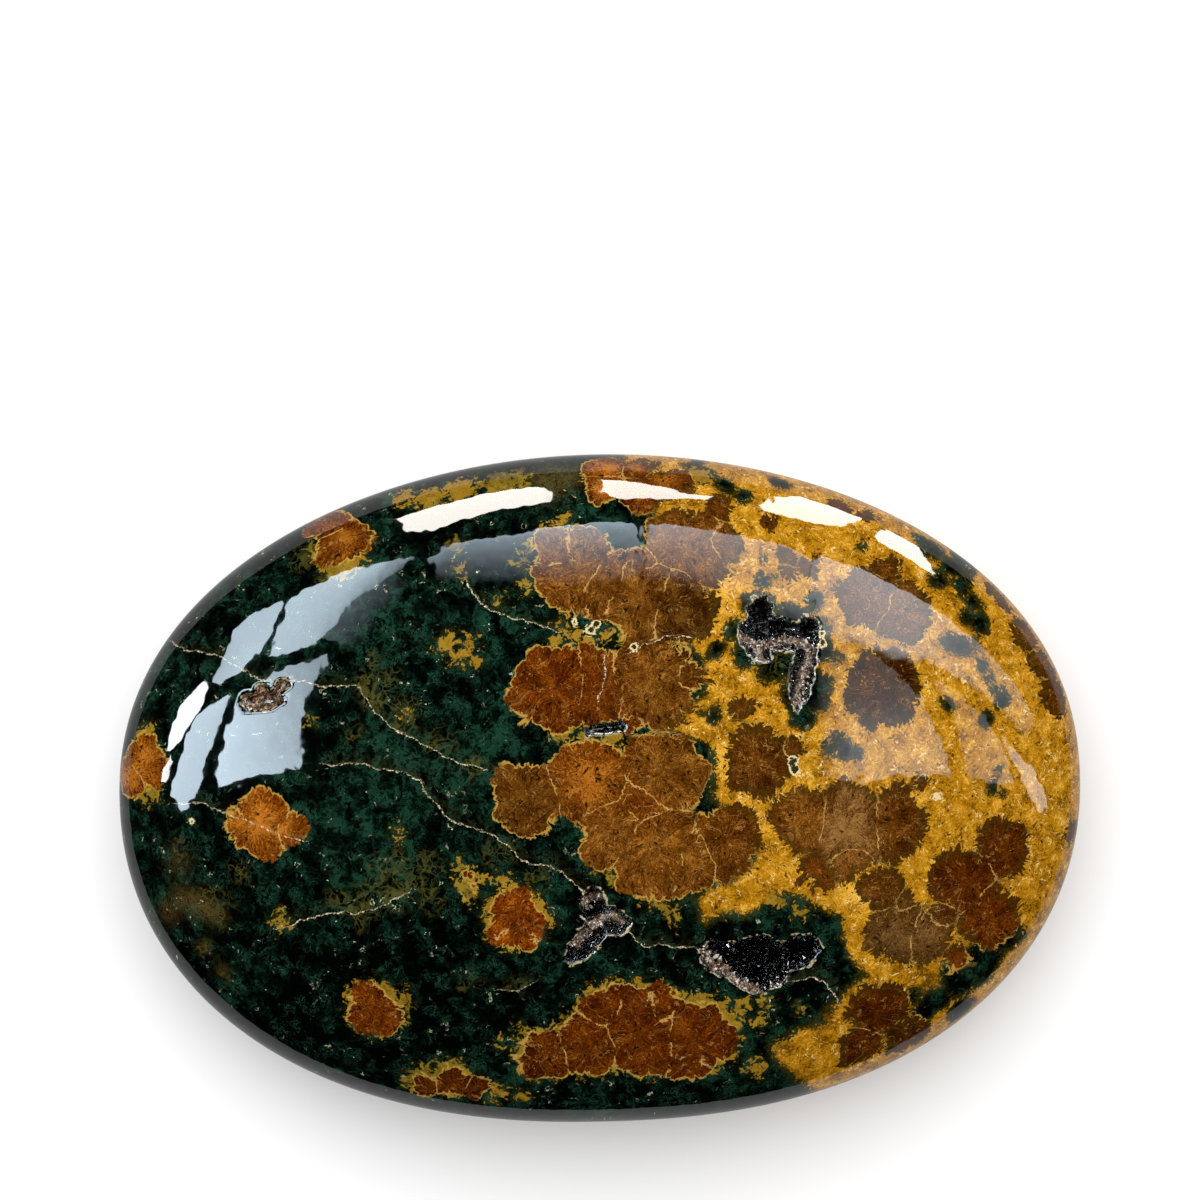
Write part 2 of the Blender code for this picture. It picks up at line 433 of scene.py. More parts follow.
def window(name, tint, outer, inner, outer_glow, inner_glow, fade=1.0, soft=0.0):
    """A glowing panel between two rows of pixels. Its grid is made in the picture and mirrored out
    point by point. The glow runs from the outer row's to the inner row's along a power curve, and
    over the soft share of the width it fades out at the inner row."""
    columns = 6 * max(len(outer), len(inner))
    share = np.linspace(0, 1, PANE_ROWS)[:, None]
    outer_row, inner_row = spread(outer, columns), spread(inner, columns)
    pixels = outer_row + (inner_row - outer_row) * share[..., None]
    points = mirrored_place(pixels, PANE_DISTANCE).reshape(-1, 3)
    made = mesh_object(name, points, grid_faces(PANE_ROWS, columns).tolist(), GLOWS[tint])
    outer_light, inner_light = spread(outer_glow, columns), spread(inner_glow, columns)
    glow = outer_light + (inner_light - outer_light) * share**fade
    if soft:
        glow = glow * np.clip((1 - share) / soft, 0, 1)
    made.data.attributes.new("glow", "FLOAT", "POINT").data.foreach_set("value", glow.ravel())
    unseen_but_mirrored(made)


print("tints:", ", ".join(GLOWS))

# %% The windows, veils and bright strips
# Name, tint, outer row, inner row, glow along each, and for some of them the fade and the soft share
WINDOWS = (
    ("pane_big", "cool",
     [(217, 787), (216, 765), (228, 725), (238, 700), (262, 683), (273, 672)],
     [(298, 768), (300, 745), (303, 720), (309, 700), (317, 680), (328, 654)],
     [18.5, 18.5, 18.5, 17, 12.5, 11], [12.5, 11, 10, 9, 8, 7.5]),
    ("pane_tall", "cool",
     [(170, 792), (178, 765), (188, 735), (197, 717), (212, 706), (229, 693)],
     [(181, 809), (200, 790), (206, 762), (213, 742), (221, 720), (231, 695)], [16.5], [15]),
    ("pane_edge", "soft",
     [(166, 751), (172, 722), (187, 697), (205, 680)],
     [(169, 752), (183, 736), (198, 712), (208, 688)], [24], [24]),
    ("pane_foot", "soft",
     [(161, 783), (163, 768), (170, 756)], [(165, 785), (169, 772), (173, 762)], [20], [20]),
    ("pane_high_left", "cool",
     [(214, 680), (222, 660), (235, 629), (252, 614), (282, 601)],
     [(222, 681), (240, 673), (254, 662), (270, 636), (284, 604)],
     [12, 11, 13, 13, 13], [14, 15, 15, 14, 13]),
    ("pane_high", "cool",
     [(291, 600), (301, 591), (345, 572), (385, 561), (414, 557)],
     [(267, 657), (300, 650), (323, 640), (350, 603), (394, 573)], [14, 14, 14, 11, 3], [14, 13, 9, 7, 2]),
    ("pane_haze", "cool",
     [(323, 640), (350, 603), (380, 581), (400, 570)],
     [(356, 650), (376, 624), (396, 602), (414, 586)], [1.8, 2.2, 1.6, 0.0], [0.0]),
    ("veil_left", "cool",
     [(431, 558), (449, 544), (500, 537), (550, 526), (600, 522), (632, 523), (641, 534)],
     [(437, 580), (460, 582), (500, 584), (550, 584), (600, 584), (632, 582), (641, 580)],
     [7, 7.5, 8, 9, 9, 9, 8], [0.0], 0.55),
    ("veil_middle", "soft",
     [(645, 527), (655, 524), (700, 528), (750, 538), (785, 546), (812, 560)],
     [(645, 584), (660, 586), (700, 592), (750, 606), (780, 620), (806, 636)],
     [6, 6, 5, 4.4, 3.8, 3.6], [0.0, 0.0, 0.6, 1.6, 2.2, 2.4], 0.8, 0.25),
    ("veil_right", "soft",
     [(814, 561), (824, 558), (855, 566), (885, 581), (920, 598), (950, 620)],
     [(806, 636), (822, 642), (850, 648), (880, 656), (908, 662), (934, 664)],
     [4.2, 5.6, 6.0, 6.2, 5.6, 4.0], [2.4, 3.2, 3.8, 4.8, 5.0, 4.2], 1.0, 0.12),
    ("veil_end", "soft",
     [(950, 620), (976, 641), (1000, 665), (1019, 690), (1033, 716)],
     [(934, 664), (956, 676), (978, 689), (1003, 712), (1028, 738)],
     [3.8, 3.0, 2.6, 2.4, 1.6], [3.8, 3.0, 2.2, 1.2, 0.8]),
    ("low_pane", "soft",
     [(870, 651), (900, 677), (924, 702), (937, 730), (945, 755), (949, 775)],
     [(812, 640), (812, 668), (813, 700), (815, 730), (818, 755), (821, 782)],
     [1.1, 1.3, 1.6, 2.4, 2.9, 2.8], [0.7, 1.1, 1.5, 2.6, 3.1, 2.8], 1.0, 0.28),
    ("low_pane_next", "soft",
     [(934, 680), (960, 694), (985, 716), (1001, 745), (1009, 765), (1014, 784)],
     [(934, 684), (948, 704), (955, 724), (961, 745), (964, 760), (966, 776)],
     [1.1, 1.2, 1.6, 2.0, 2.4, 2.5], [1.0, 1.1, 1.2, 1.3, 1.4, 1.4]),
    ("low_spike", "warm",
     [(1000, 733), (1014, 748), (1031, 767), (1043, 790), (1048, 808)],
     [(1003, 740), (1012, 760), (1020, 777), (1029, 795), (1040, 811)],
     [3.0, 4.6, 5.4, 5.4, 5.0], [3.0, 4.2, 5.0, 5.0, 4.6]),
    ("strip_left", "warm",
     [(394, 519), (440, 505), (480, 495), (512, 489), (540, 487), (550, 492)],
     [(405, 532), (430, 531), (462, 520), (500, 510), (530, 505), (549, 501)], [20], [20]),
    ("strip_middle", "warm",
     [(601, 479), (625, 481), (660, 486), (690, 494), (715, 496)],
     [(604, 492), (614, 498), (650, 499), (690, 499), (711, 500)], [18], [18]),
    ("strip_right", "warm",
     [(760, 505), (775, 497), (800, 496), (838, 507), (862, 519)],
     [(764, 510), (785, 516), (808, 522), (838, 526), (858, 521)], [18], [18]),
    ("strip_end", "soft",
     [(875, 537), (886, 527), (900, 528), (914, 539), (935, 573)],
     [(878, 541), (889, 547), (903, 555), (918, 565), (932, 574)], [16], [16]),
)
for settings in WINDOWS:
    window(*settings)
print(len(WINDOWS), "mirrored panes")

# %% [markdown]
# ## The hollows
# Ocean jasper is full of cavities where the silica ran out. Sawn open by the polish, their mouths are
# ragged and their walls steep. A hollow here is a few rounded lobes: each is an ellipsoid whose middle
# lies on the polish, the same ones that the solid is cut with. The mouth's outline is roughened with a
# sum of plane waves in random directions, which is the cheapest kind of smooth noise in numpy.

# %% Lobes of the hollows
# Middle x and y, half length, half width and depth in millimetres, and degrees turned
HOLLOWS = {
    "upper": (
        (11.72, 12.35, 1.30, 0.95, 2.1, 78),
        (13.20, 10.90, 2.55, 1.15, 2.5, -8),
        (11.30, 10.40, 1.60, 0.85, 1.5, -58),
        (15.05, 10.85, 1.30, 0.90, 2.2, 82),
        (14.75, 8.40, 2.80, 0.80, 1.8, 77),
    ),
    "lower": (
        (8.45, -12.00, 1.60, 1.20, 2.2, -20),
        (10.95, -12.55, 2.35, 2.05, 3.3, -5),
        (13.70, -11.85, 1.85, 1.15, 2.4, 22),
    ),
    "middle": (
        (-0.60, -8.15, 1.45, 0.90, 1.9, 95),
        (0.60, -9.10, 1.35, 0.95, 1.6, -20),
        (-1.15, -10.45, 2.15, 0.85, 1.5, 48),
    ),
    "left_pit": (
        (-24.10, 7.05, 1.40, 0.66, 0.9, 2),
        (-24.05, 7.70, 0.60, 0.50, 0.7, 90),
        (-22.65, 8.05, 0.95, 0.36, 0.6, 45),
    ),
    "slit": (
        (0.35, 4.55, 1.45, 0.40, 0.8, 8),
        (1.35, 4.70, 0.55, 0.45, 0.7, 0),
    ),
}
print("hollows:", ", ".join(HOLLOWS))

# %% How far a point is from a mouth
MOUTH_ROUGHNESS = 0.16
MOUTH_WAVELENGTH = 0.9
LEAST_GROWTH = 0.2


def plane_waves(points, wavelength, seed, count=14):
    """Smooth noise between about minus one and one: the mean of sines running in random directions,
    each with its own phase and a wavelength near the given one, times half the root of twice the
    count."""
    chance = np.random.default_rng(seed)
    directions = chance.normal(size=(count, points.shape[-1]))
    directions /= np.linalg.norm(directions, axis=1, keepdims=True)
    pitch = 2 * np.pi / (wavelength * chance.uniform(0.7, 1.5, count))
    phase = chance.uniform(0, 2 * np.pi, count)
    return np.sin(points @ (directions * pitch[:, None]).T + phase).mean(-1) * math.sqrt(2 * count) / 2


def lobe_share(x, y, lobe):
    """How far out of a lobe's ellipse a point of the plan lies: zero in its middle and one on its
    outline, with the rate at which that number grows per millimetre."""
    centre_x, centre_y, half_length, half_width, _, turn_degrees = lobe
    along, aside = turned(x - centre_x, y - centre_y, -math.radians(turn_degrees))
    share = np.sqrt((along / half_length) ** 2 + (aside / half_width) ** 2) + 1e-9
    growth = np.sqrt((along / half_length**2) ** 2 + (aside / half_width**2) ** 2) / share
    return share, growth


def mouth_distance(x, y, lobes):
    """Millimetres from a point of the plan to the nearest edge of a hollow's mouth, negative inside:
    for each lobe, what its share has over one, divided by the growth, and the least of them all,
    roughened by waves."""
    distances = []
    for lobe in lobes:
        share, growth = lobe_share(x, y, lobe)
        distances.append((share - 1) / np.maximum(growth, LEAST_GROWTH / lobe[3]))
    ragged = MOUTH_ROUGHNESS * plane_waves(np.stack([x, y], -1), MOUTH_WAVELENGTH, 5)
    return np.min(distances, axis=0) + ragged


print("mm from the stone's middle to the slit:", mouth_distance(*np.zeros((2, 1)), HOLLOWS["slit"]).round(2))

# %% Ridges on the hollows' floors
# Chains of pixels along which milky crystals stand close together, on mounds of the hollow's floor
RIDGES = (
    ((731, 631), (745, 640), (757, 647), (770, 645), (786, 641), (802, 643), (811, 650)),
    ((757, 650), (762, 662)),
    ((811, 650), (808, 664), (802, 678), (799, 692), (796, 703)),
    ((702, 950), (712, 964), (726, 975), (740, 988), (756, 994), (772, 995), (782, 986)),
    ((583, 905), (588, 897), (598, 896)),
    ((601, 921), (612, 915), (621, 922)),
    ((592, 925), (601, 921)),
    ((575, 944), (583, 935), (592, 926)),
)
MOUND_HEIGHT = 0.55
MOUND_WIDTH = 0.55


def chain_distance(points, start, run):
    """Distance from each point to a chain of straight pieces, each given by its start and its run,
    and the number of the nearest piece: to the start, less the share of the run along the way."""
    to_start = points[:, None, :] - start[None]
    along = np.clip((to_start * run).sum(-1) / (run * run).sum(-1), 0, 1)
    apart = np.linalg.norm(to_start - along[..., None] * run, axis=-1)
    return apart.min(axis=1), apart.argmin(axis=1)


def ridge_distance(x, y):
    """Millimetres in plan to the nearest ridge."""
    points = np.stack([np.ravel(x), np.ravel(y)], axis=-1)
    chains = [on_stone(chain)[:, :2] for chain in RIDGES]
    apart = [chain_distance(points, chain[:-1], np.diff(chain, axis=0))[0] for chain in chains]
    return np.min(apart, axis=0).reshape(np.shape(x))


def hollow_floor(x, y, lobes):
    """Height of the hollow under a point of the plan: the lowest of the lobes' undersides, each its
    middle's height minus depth times root of one minus share squared, with mounds under the ridges
    that take up a share of the depth and fall off as a bell curve."""
    top = dome_height(x, y)
    lowest = top
    for lobe in lobes:
        share, _ = lobe_share(x, y, lobe)
        middle = dome_height(np.float64(lobe[0]), np.float64(lobe[1]))
        floor_here = middle - lobe[4] * np.sqrt(np.clip(1 - share**2, 0, None))
        lowest = np.where(share < 1, np.minimum(lowest, floor_here), lowest)
    mound = MOUND_HEIGHT * np.exp(-((ridge_distance(x, y) / MOUND_WIDTH) ** 2))
    return lowest + (top - lowest) * mound


print(len(RIDGES), "ridges")

# %% [markdown]
# ## One skin for the whole stone
# The skin is two sheets that meet at the girdle. Each sheet is a square grid pressed onto a disc, so
# there is no pole where triangles crowd. The grid lines are spread evenly along the curve from the
# middle to the rim, and pulled closer together where the hollows are. The lower sheet keeps every
# second line, and its outermost faces take in the upper sheet's extra points, which closes the seam.
# Points that land near a mouth's outline are moved onto it, so each hollow starts at a clean edge.

# %% The grid of the skin
UPPER_LINES_X = 320
UPPER_LINES_Y = 232
CURVE_SAMPLES = 2000
LINE_SAMPLES = 4001
# Where the lines crowd: middle and reach in millimetres, and how much denser they are there
CROWDING_X = ((12.0, 5.0, 1.3), (-0.5, 2.6, 0.6))
CROWDING_Y = ((-11.5, 3.6, 1.1), (10.0, 3.6, 1.1))


def arc_evened(share):
    """Turns an even share of the way along the quarter ellipse into a share of the plan radius."""
    fine = np.sin(np.linspace(0, np.pi / 2, CURVE_SAMPLES))
    mean_radius = (HALF_LENGTH + HALF_WIDTH) / 2
    height = DOME_RISE * np.sqrt(1 - fine**2)
    length = np.concatenate([[0], np.cumsum(np.hypot(np.diff(fine) * mean_radius, np.diff(height)))])
    return np.interp(share, length / length[-1], fine)


def crowded_lines(count, reach, crowding):
    """Line positions from minus one to one, closer together around the given places: the running sum
    of a density with one bump for each place, read backwards at even steps."""
    fine = np.linspace(-1, 1, LINE_SAMPLES)
    density = np.ones_like(fine)
    for middle, breadth, strength in crowding:
        density += strength * np.exp(-(((fine * reach - middle) / breadth) ** 2))
    total = np.cumsum(density)
    total = (total - total[0]) / (total[-1] - total[0])
    return np.interp(np.linspace(0, 1, count + 1), total, fine)


def sheet_places(across, deep, side):
    """Places of a sheet. A square point (s, t) goes to the disc as s times root of one minus half t
    squared, and t likewise. Its distance from the middle is evened out, stretched to the outline, and
    the height follows the half ellipse, up for side 1 and down for side -1."""
    s, t = np.meshgrid(across, deep)
    disc_x = s * np.sqrt(1 - t * t / 2)
    disc_y = t * np.sqrt(1 - s * s / 2)
    angle = np.arctan2(disc_y, disc_x)
    share = arc_evened(np.clip(np.hypot(disc_x, disc_y), 0, 1))
    radius = share * plan_radius(angle)
    height = GIRDLE_HEIGHT + side * DOME_RISE * np.sqrt(np.clip(1 - share**2, 0, None))
    return np.stack([radius * np.cos(angle), radius * np.sin(angle), np.maximum(height, 0.0)], axis=-1)


lines_x = crowded_lines(UPPER_LINES_X, HALF_LENGTH, CROWDING_X)
lines_y = crowded_lines(UPPER_LINES_Y, HALF_WIDTH, CROWDING_Y)
upper = sheet_places(lines_x, lines_y, 1)
lower = sheet_places(lines_x[::2], lines_y[::2], -1)
print("upper sheet:", upper.shape[:2], " lower sheet:", lower.shape[:2])

# %% Snap to the mouths, then sink the hollows
SNAP_REACH = 0.09
HOLLOW_ROUGHNESS = 0.16
ROUGH_WAVELENGTH = 0.7
ROUGH_FULL_AT = 0.4
LIP_DEPTH = 0.35
LIP_FULL_AT = 0.3
LEAST_DEPTH = 0.15
LEAST_STEEPNESS = 0.25
INTERIOR_SHARE = 0.97
every_lobe = [lobe for lobes in HOLLOWS.values() for lobe in lobes]


def all_mouths(x, y):
    """Millimetres to the nearest mouth of any hollow, negative inside."""
    return mouth_distance(x, y, every_lobe)


plan_x, plan_y = upper[..., 0], upper[..., 1]
distance = all_mouths(plan_x, plan_y)
near = np.abs(distance) < SNAP_REACH
slope_x, slope_y = slope_of(all_mouths, plan_x, plan_y)
steepness = np.maximum(slope_x**2 + slope_y**2, LEAST_STEEPNESS)
plan_x = np.where(near, plan_x - distance * slope_x / steepness, plan_x)
plan_y = np.where(near, plan_y - distance * slope_y / steepness, plan_y)
inside = (distance < 0) & ~near
sunk = hollow_floor(plan_x, plan_y, every_lobe)
lip = LIP_DEPTH * np.clip(-distance / LIP_FULL_AT, 0, 1)
rough = HOLLOW_ROUGHNESS * plane_waves(np.stack([plan_x, plan_y, sunk], -1), ROUGH_WAVELENGTH, 9)
rough = rough * np.clip(-distance / ROUGH_FULL_AT, 0, 1)
polished = dome_height(plan_x, plan_y)
floor_height = np.minimum(sunk + rough, polished - lip - LEAST_DEPTH)
interior = np.hypot(plan_x, plan_y) < INTERIOR_SHARE * plan_radius(np.arctan2(plan_y, plan_x))
upper[..., 0] = np.where(interior, plan_x, upper[..., 0])
upper[..., 1] = np.where(interior, plan_y, upper[..., 1])
upper[..., 2] = np.where(inside, floor_height, np.where(interior, polished, upper[..., 2]))
print("points inside hollows:", int(inside.sum()), " on mouths:", int(near.sum()))

# %% Join the sheets into one closed mesh
rows, columns = upper.shape[:2]
upper_index = np.arange(rows * columns).reshape(rows, columns)
lower_rows, lower_columns = lower.shape[:2]
lower_index = np.full((lower_rows, lower_columns), -1)
lower_index[0], lower_index[-1] = upper_index[0, ::2], upper_index[-1, ::2]
lower_index[:, 0], lower_index[:, -1] = upper_index[::2, 0], upper_index[::2, -1]
inner = lower_index < 0
lower_index[inner] = rows * columns + np.arange(inner.sum())
skin_points = np.concatenate([upper.reshape(-1, 3), lower[inner]])

upper_faces = grid_faces(rows, columns)
# Corners of a lower face, and the upper sheet's extra point on each of its sides, or -1 if it has none
extra = np.full((2 * lower_rows - 1, 2 * lower_columns - 1), -1)
extra[0], extra[-1] = upper_index[0], upper_index[-1]
extra[:, 0], extra[:, -1] = upper_index[:, 0], upper_index[:, -1]
around = (
    lower_index[:-1, :-1], extra[1::2, :-2:2], lower_index[1:, :-1], extra[2::2, 1::2],
    lower_index[1:, 1:], extra[1::2, 2::2], lower_index[:-1, 1:], extra[:-2:2, 1::2],
)
around = np.stack(around, axis=-1).reshape(-1, 8)
lower_faces = [[corner for corner in face if corner >= 0] for face in around.tolist()]
skin_faces = upper_faces.tolist() + lower_faces
print("skin:", len(skin_points), "points,", len(skin_faces), "faces")

# %% [markdown]
# ## The pattern: orbs, ground and veins
# Orbs grew outwards from seeds until they met, so an orb is a ball, and a cluster is a foam of balls.
# Each one is placed by the pixel of its middle and its radius in pixels, and kept as a ball in space,
# so it goes on over the rim as a real one would. What the material needs at each point is stored on
# the mesh as numbers: how far to the nearest orb's edge, the way from its middle, how near the seam
# to the next orb is, and how far to the ground's border, to a vein and to a mouth. They all change
# smoothly, so the mesh carries them exactly, and the shader adds the fine jagged detail between.

# %% Orbs by the pixels of their middles
MEAN_TOP_HEIGHT = 16.5
PIXELS_PER_MM_ON_TOP = FOCAL_PIXELS / (CAMERA_HEIGHT - MEAN_TOP_HEIGHT)
RUST, BROWN, UMBER, BUFF, ORANGE = range(5)
# Pixel x and y of the middle, radius in pixels, kind, and how bright
# Orbs near the bottom rim and on the lower right are set darker: partly their own colour, partly painted
# shade
ORBS = (
    (577, 570, 45, BROWN, 0.95), (563, 556, 31, BROWN, 0.9), (608, 583, 38, BROWN, 0.85),
    (641, 596, 46, BROWN, 0.8), (690, 548, 46, BROWN, 0.9), (676, 602, 40, BROWN, 0.38),
    (644, 566, 22, BROWN, 0.85),
    (718, 545, 26, BROWN, 0.9), (552, 688, 45, RUST, 0.76), (600, 688, 40, RUST, 0.74),
    (652, 683, 48, BROWN, 0.88), (686, 676, 21, BROWN, 0.6), (636, 718, 15, RUST, 0.6),
    (524, 797, 36, BROWN, 0.66), (590, 784, 42, ORANGE, 0.78), (664, 776, 43, BROWN, 0.94),
    (640, 802, 30, RUST, 0.8), (614, 830, 40, BROWN, 1.0), (652, 850, 50, BROWN, 1.05),
    (690, 862, 35, BROWN, 1.05), (729, 840, 34, UMBER, 0.95), (720, 872, 12, UMBER, 0.9),
    (758, 762, 38, UMBER, 0.84), (744, 705, 15, UMBER, 1.0), (788, 750, 16, UMBER, 0.7),
    (808, 822, 37, BROWN, 1.05), (848, 828, 47, BUFF, 1.05), (892, 824, 38, UMBER, 0.85),
    (850, 856, 30, BROWN, 0.95), (818, 870, 20, RUST, 0.8), (882, 890, 22, UMBER, 0.8),
    (898, 930, 35, BUFF, 0.62), (928, 934, 30, BUFF, 0.68), (902, 905, 18, UMBER, 0.7),
    (942, 916, 20, UMBER, 0.75), (965, 884, 40, RUST, 0.52), (1004, 852, 34, RUST, 0.50),
    (988, 914, 36, RUST, 0.68), (955, 958, 16, RUST, 0.8), (876, 1016, 36, RUST, 0.42),
    (905, 1032, 26, UMBER, 0.45), (862, 1042, 30, RUST, 0.42), (640, 1034, 50, RUST, 0.68),
    (692, 1040, 40, RUST, 0.74), (592, 1046, 38, RUST, 0.68), (546, 1056, 29, RUST, 0.58),
    (606, 1012, 26, RUST, 0.75), (690, 1058, 26, RUST, 0.6), (658, 1016, 30, RUST, 0.75),
    (450, 1082, 22, RUST, 0.5), (425, 1086, 18, RUST, 0.5), (478, 1086, 15, RUST, 0.5),
    (262, 822, 35, ORANGE, 1.0), (284, 826, 21, ORANGE, 0.95), (242, 822, 21, ORANGE, 0.95),
    (146, 760, 31, ORANGE, 0.95), (132, 775, 24, ORANGE, 0.9), (340, 540, 31, ORANGE, 0.62),
    (330, 528, 24, RUST, 0.8), (516, 918, 26, RUST, 1.1), (516, 932, 20, RUST, 1.1),
    (374, 1009, 28, RUST, 0.80), (466, 878, 8, RUST, 0.8), (478, 888, 6, RUST, 0.8),
    (882, 685, 41, UMBER, 0.40), (870, 598, 33, BROWN, 0.72), (902, 610, 34, BROWN, 0.72),
    (884, 572, 18, UMBER, 0.8), (790, 559, 14, BROWN, 0.8), (808, 567, 13, BROWN, 0.8),
    (790, 572, 9, BROWN, 0.8), (606, 487, 22, ORANGE, 0.8), (640, 493, 27, RUST, 0.9),
    (668, 482, 25, ORANGE, 0.8), (606, 467, 22, ORANGE, 0.95), (636, 468, 20, ORANGE, 0.6),
    (720, 508, 18, UMBER, 1.0), (766, 524, 10, RUST, 0.9), (926, 787, 10, UMBER, 0.8),
    (1026, 637, 18, BROWN, 0.8), (1042, 665, 20, BROWN, 0.7), (1053, 694, 20, UMBER, 0.8),
    (1000, 596, 15, BROWN, 0.8), (1072, 830, 12, BROWN, 0.7), (840, 506, 15, RUST, 0.9),
    (862, 514, 13, RUST, 0.9),
)
# The same in millimetres for the side that the picture doesn't show
UNDERSIDE_ORBS = (
    (-24, 6, 4.2, RUST, 0.8), (-17, -9, 3.1, ORANGE, 0.8), (-9, 10, 3.8, RUST, 0.8),
    (-3, -3, 4.6, BROWN, 0.9), (3, 3, 4.0, BROWN, 0.8), (5, -8, 3.4, UMBER, 0.9),
    (11, 12, 4.4, BROWN, 0.9), (14, 6, 3.6, UMBER, 0.8), (17, -6, 4.8, BROWN, 1.0),
    (24, 1, 3.9, RUST, 0.6), (23, -6, 3.0, BUFF, 0.8), (-28, -3, 2.6, ORANGE, 0.8),
    (-13, 2, 1.8, RUST, 0.8), (-18, 15, 2.2, RUST, 0.7), (8, 3, 2.6, BUFF, 0.8),
    (20, 11, 3.2, RUST, 0.6), (-6, -15, 3.0, RUST, 0.6), (0, 16, 2.6, UMBER, 0.8),
    (12, -14, 3.2, BROWN, 0.7), (-23, -10, 1.7, ORANGE, 0.7),
)
# How rusty and how grey each kind is, and how much paler in its middle
KIND_TONE = {
    RUST: (1.0, 0.0, 0.1),
    BROWN: (0.30, 0.03, 0.15),
    UMBER: (0.50, 0.0, 0.2),
    BUFF: (0.1, 0.35, 0.7),
    ORANGE: (0.62, 0.0, 1.0),
}
KIND_BRIGHTNESS = {RUST: 1.0, BROWN: 1.02, UMBER: 0.72, BUFF: 0.9, ORANGE: 1.5}
print(len(ORBS), "orbs on top,", len(UNDERSIDE_ORBS), "below")

# %% Orbs as balls in space
TONE_BLEND = 0.6

orb_rows = np.array(ORBS, float)
orb_centres = on_stone(orb_rows[:, :2])
orb_radii = orb_rows[:, 2] / PIXELS_PER_MM_ON_TOP
under = np.array(UNDERSIDE_ORBS, float)
under_heights = 2 * GIRDLE_HEIGHT - dome_height(under[:, 0], under[:, 1])
orb_centres = np.concatenate([orb_centres, np.column_stack([under[:, :2], under_heights])])
orb_radii = np.concatenate([orb_radii, under[:, 2]])
orb_kinds = np.concatenate([orb_rows[:, 3], under[:, 3]]).astype(int)
orb_brightness = np.concatenate([orb_rows[:, 4], under[:, 4]])
orb_brightness *= [KIND_BRIGHTNESS[kind] for kind in orb_kinds]
orb_tones = np.column_stack([[KIND_TONE[kind] for kind in orb_kinds], orb_brightness])


def orb_fields(points):
    """For each point: distance to the nearest orb's edge (negative inside), offset from that orb's
    middle, four tone numbers, and the signed gap to the next orb. The gap is the second least edge
    distance minus the least, with a sign that flips when the two change places, so it runs through
    zero. A tone is the mean over all orbs, each weighted by e to the power of minus its distance."""
    edges = np.linalg.norm(points[:, None, :] - orb_centres[None], axis=-1) - orb_radii
    order = np.argpartition(edges, 1, axis=1)[:, :2]
    pair = np.take_along_axis(edges, order, axis=1)
    swap = pair[:, 0] > pair[:, 1]
    first = np.where(swap, order[:, 1], order[:, 0])
    second = np.where(swap, order[:, 0], order[:, 1])
    gap = np.abs(pair[:, 0] - pair[:, 1])
    signed_gap = np.where(first < second, gap, -gap)
    least = pair.min(axis=1)
    weights = np.exp((least[:, None] - edges) / TONE_BLEND)
    tones = weights @ orb_tones / weights.sum(axis=1, keepdims=True)
    return least, points - orb_centres[first], tones, signed_gap


print("largest orb, radius in mm:", round(float(orb_radii.max()), 2))

# %% The ground: mustard on the right, green moss on the left, with pockets of each in the other
MUSTARD_BORDER = (
    (600, 440), (655, 500), (652, 532), (690, 560), (712, 600), (690, 625), (698, 655), (706, 690),
    (690, 706), (660, 726), (676, 731), (706, 742), (714, 760), (712, 800), (735, 812), (758, 845),
    (748, 872), (728, 882), (690, 898), (705, 915), (745, 912), (786, 888), (812, 905), (842, 914),
    (848, 950), (866, 976), (846, 990), (836, 1012), (815, 1026), (786, 1034), (770, 1056), (800, 1080),
    (830, 1130), (1000, 1130), (1160, 900), (1160, 600), (1000, 440), (800, 400),
)
# Pixel x and y of the middle and radius in pixels
GREEN_POCKETS = (
    (762, 608, 17), (790, 624, 24), (812, 634, 18), (782, 655, 31), (802, 690, 24), (757, 640, 21),
    (736, 630, 11), (803, 714, 13), (764, 582, 8), (775, 576, 4), (812, 602, 10), (765, 560, 4),
    (716, 650, 9), (828, 748, 9), (845, 752, 6), (857, 756, 4), (835, 738, 5), (950, 640, 9),
    (962, 645, 11), (975, 640, 7), (989, 678, 6), (996, 690, 7), (1001, 702, 6), (982, 668, 4),
    (984, 720, 8), (936, 552, 15), (950, 566, 15), (940, 580, 11), (960, 586, 13), (972, 600, 11),
    (966, 616, 10), (980, 626, 11), (922, 540, 8), (962, 560, 14), (862, 548, 6), (1004, 793, 5),
    (995, 788, 4), (713, 718, 8), (702, 714, 6), (692, 466, 9), (700, 462, 8), (984, 962, 26),
    (960, 978, 24), (1007, 934, 20), (938, 1000, 18), (925, 1012, 14), (960, 1010, 16),
    (910, 998, 10), (1000, 770, 4), (782, 484, 8), (700, 474, 14), (725, 486, 10), (745, 494, 8),
    (948, 706, 5), (890, 1000, 6), (822, 652, 15), (818, 682, 14), (744, 655, 13), (800, 712, 11),
)
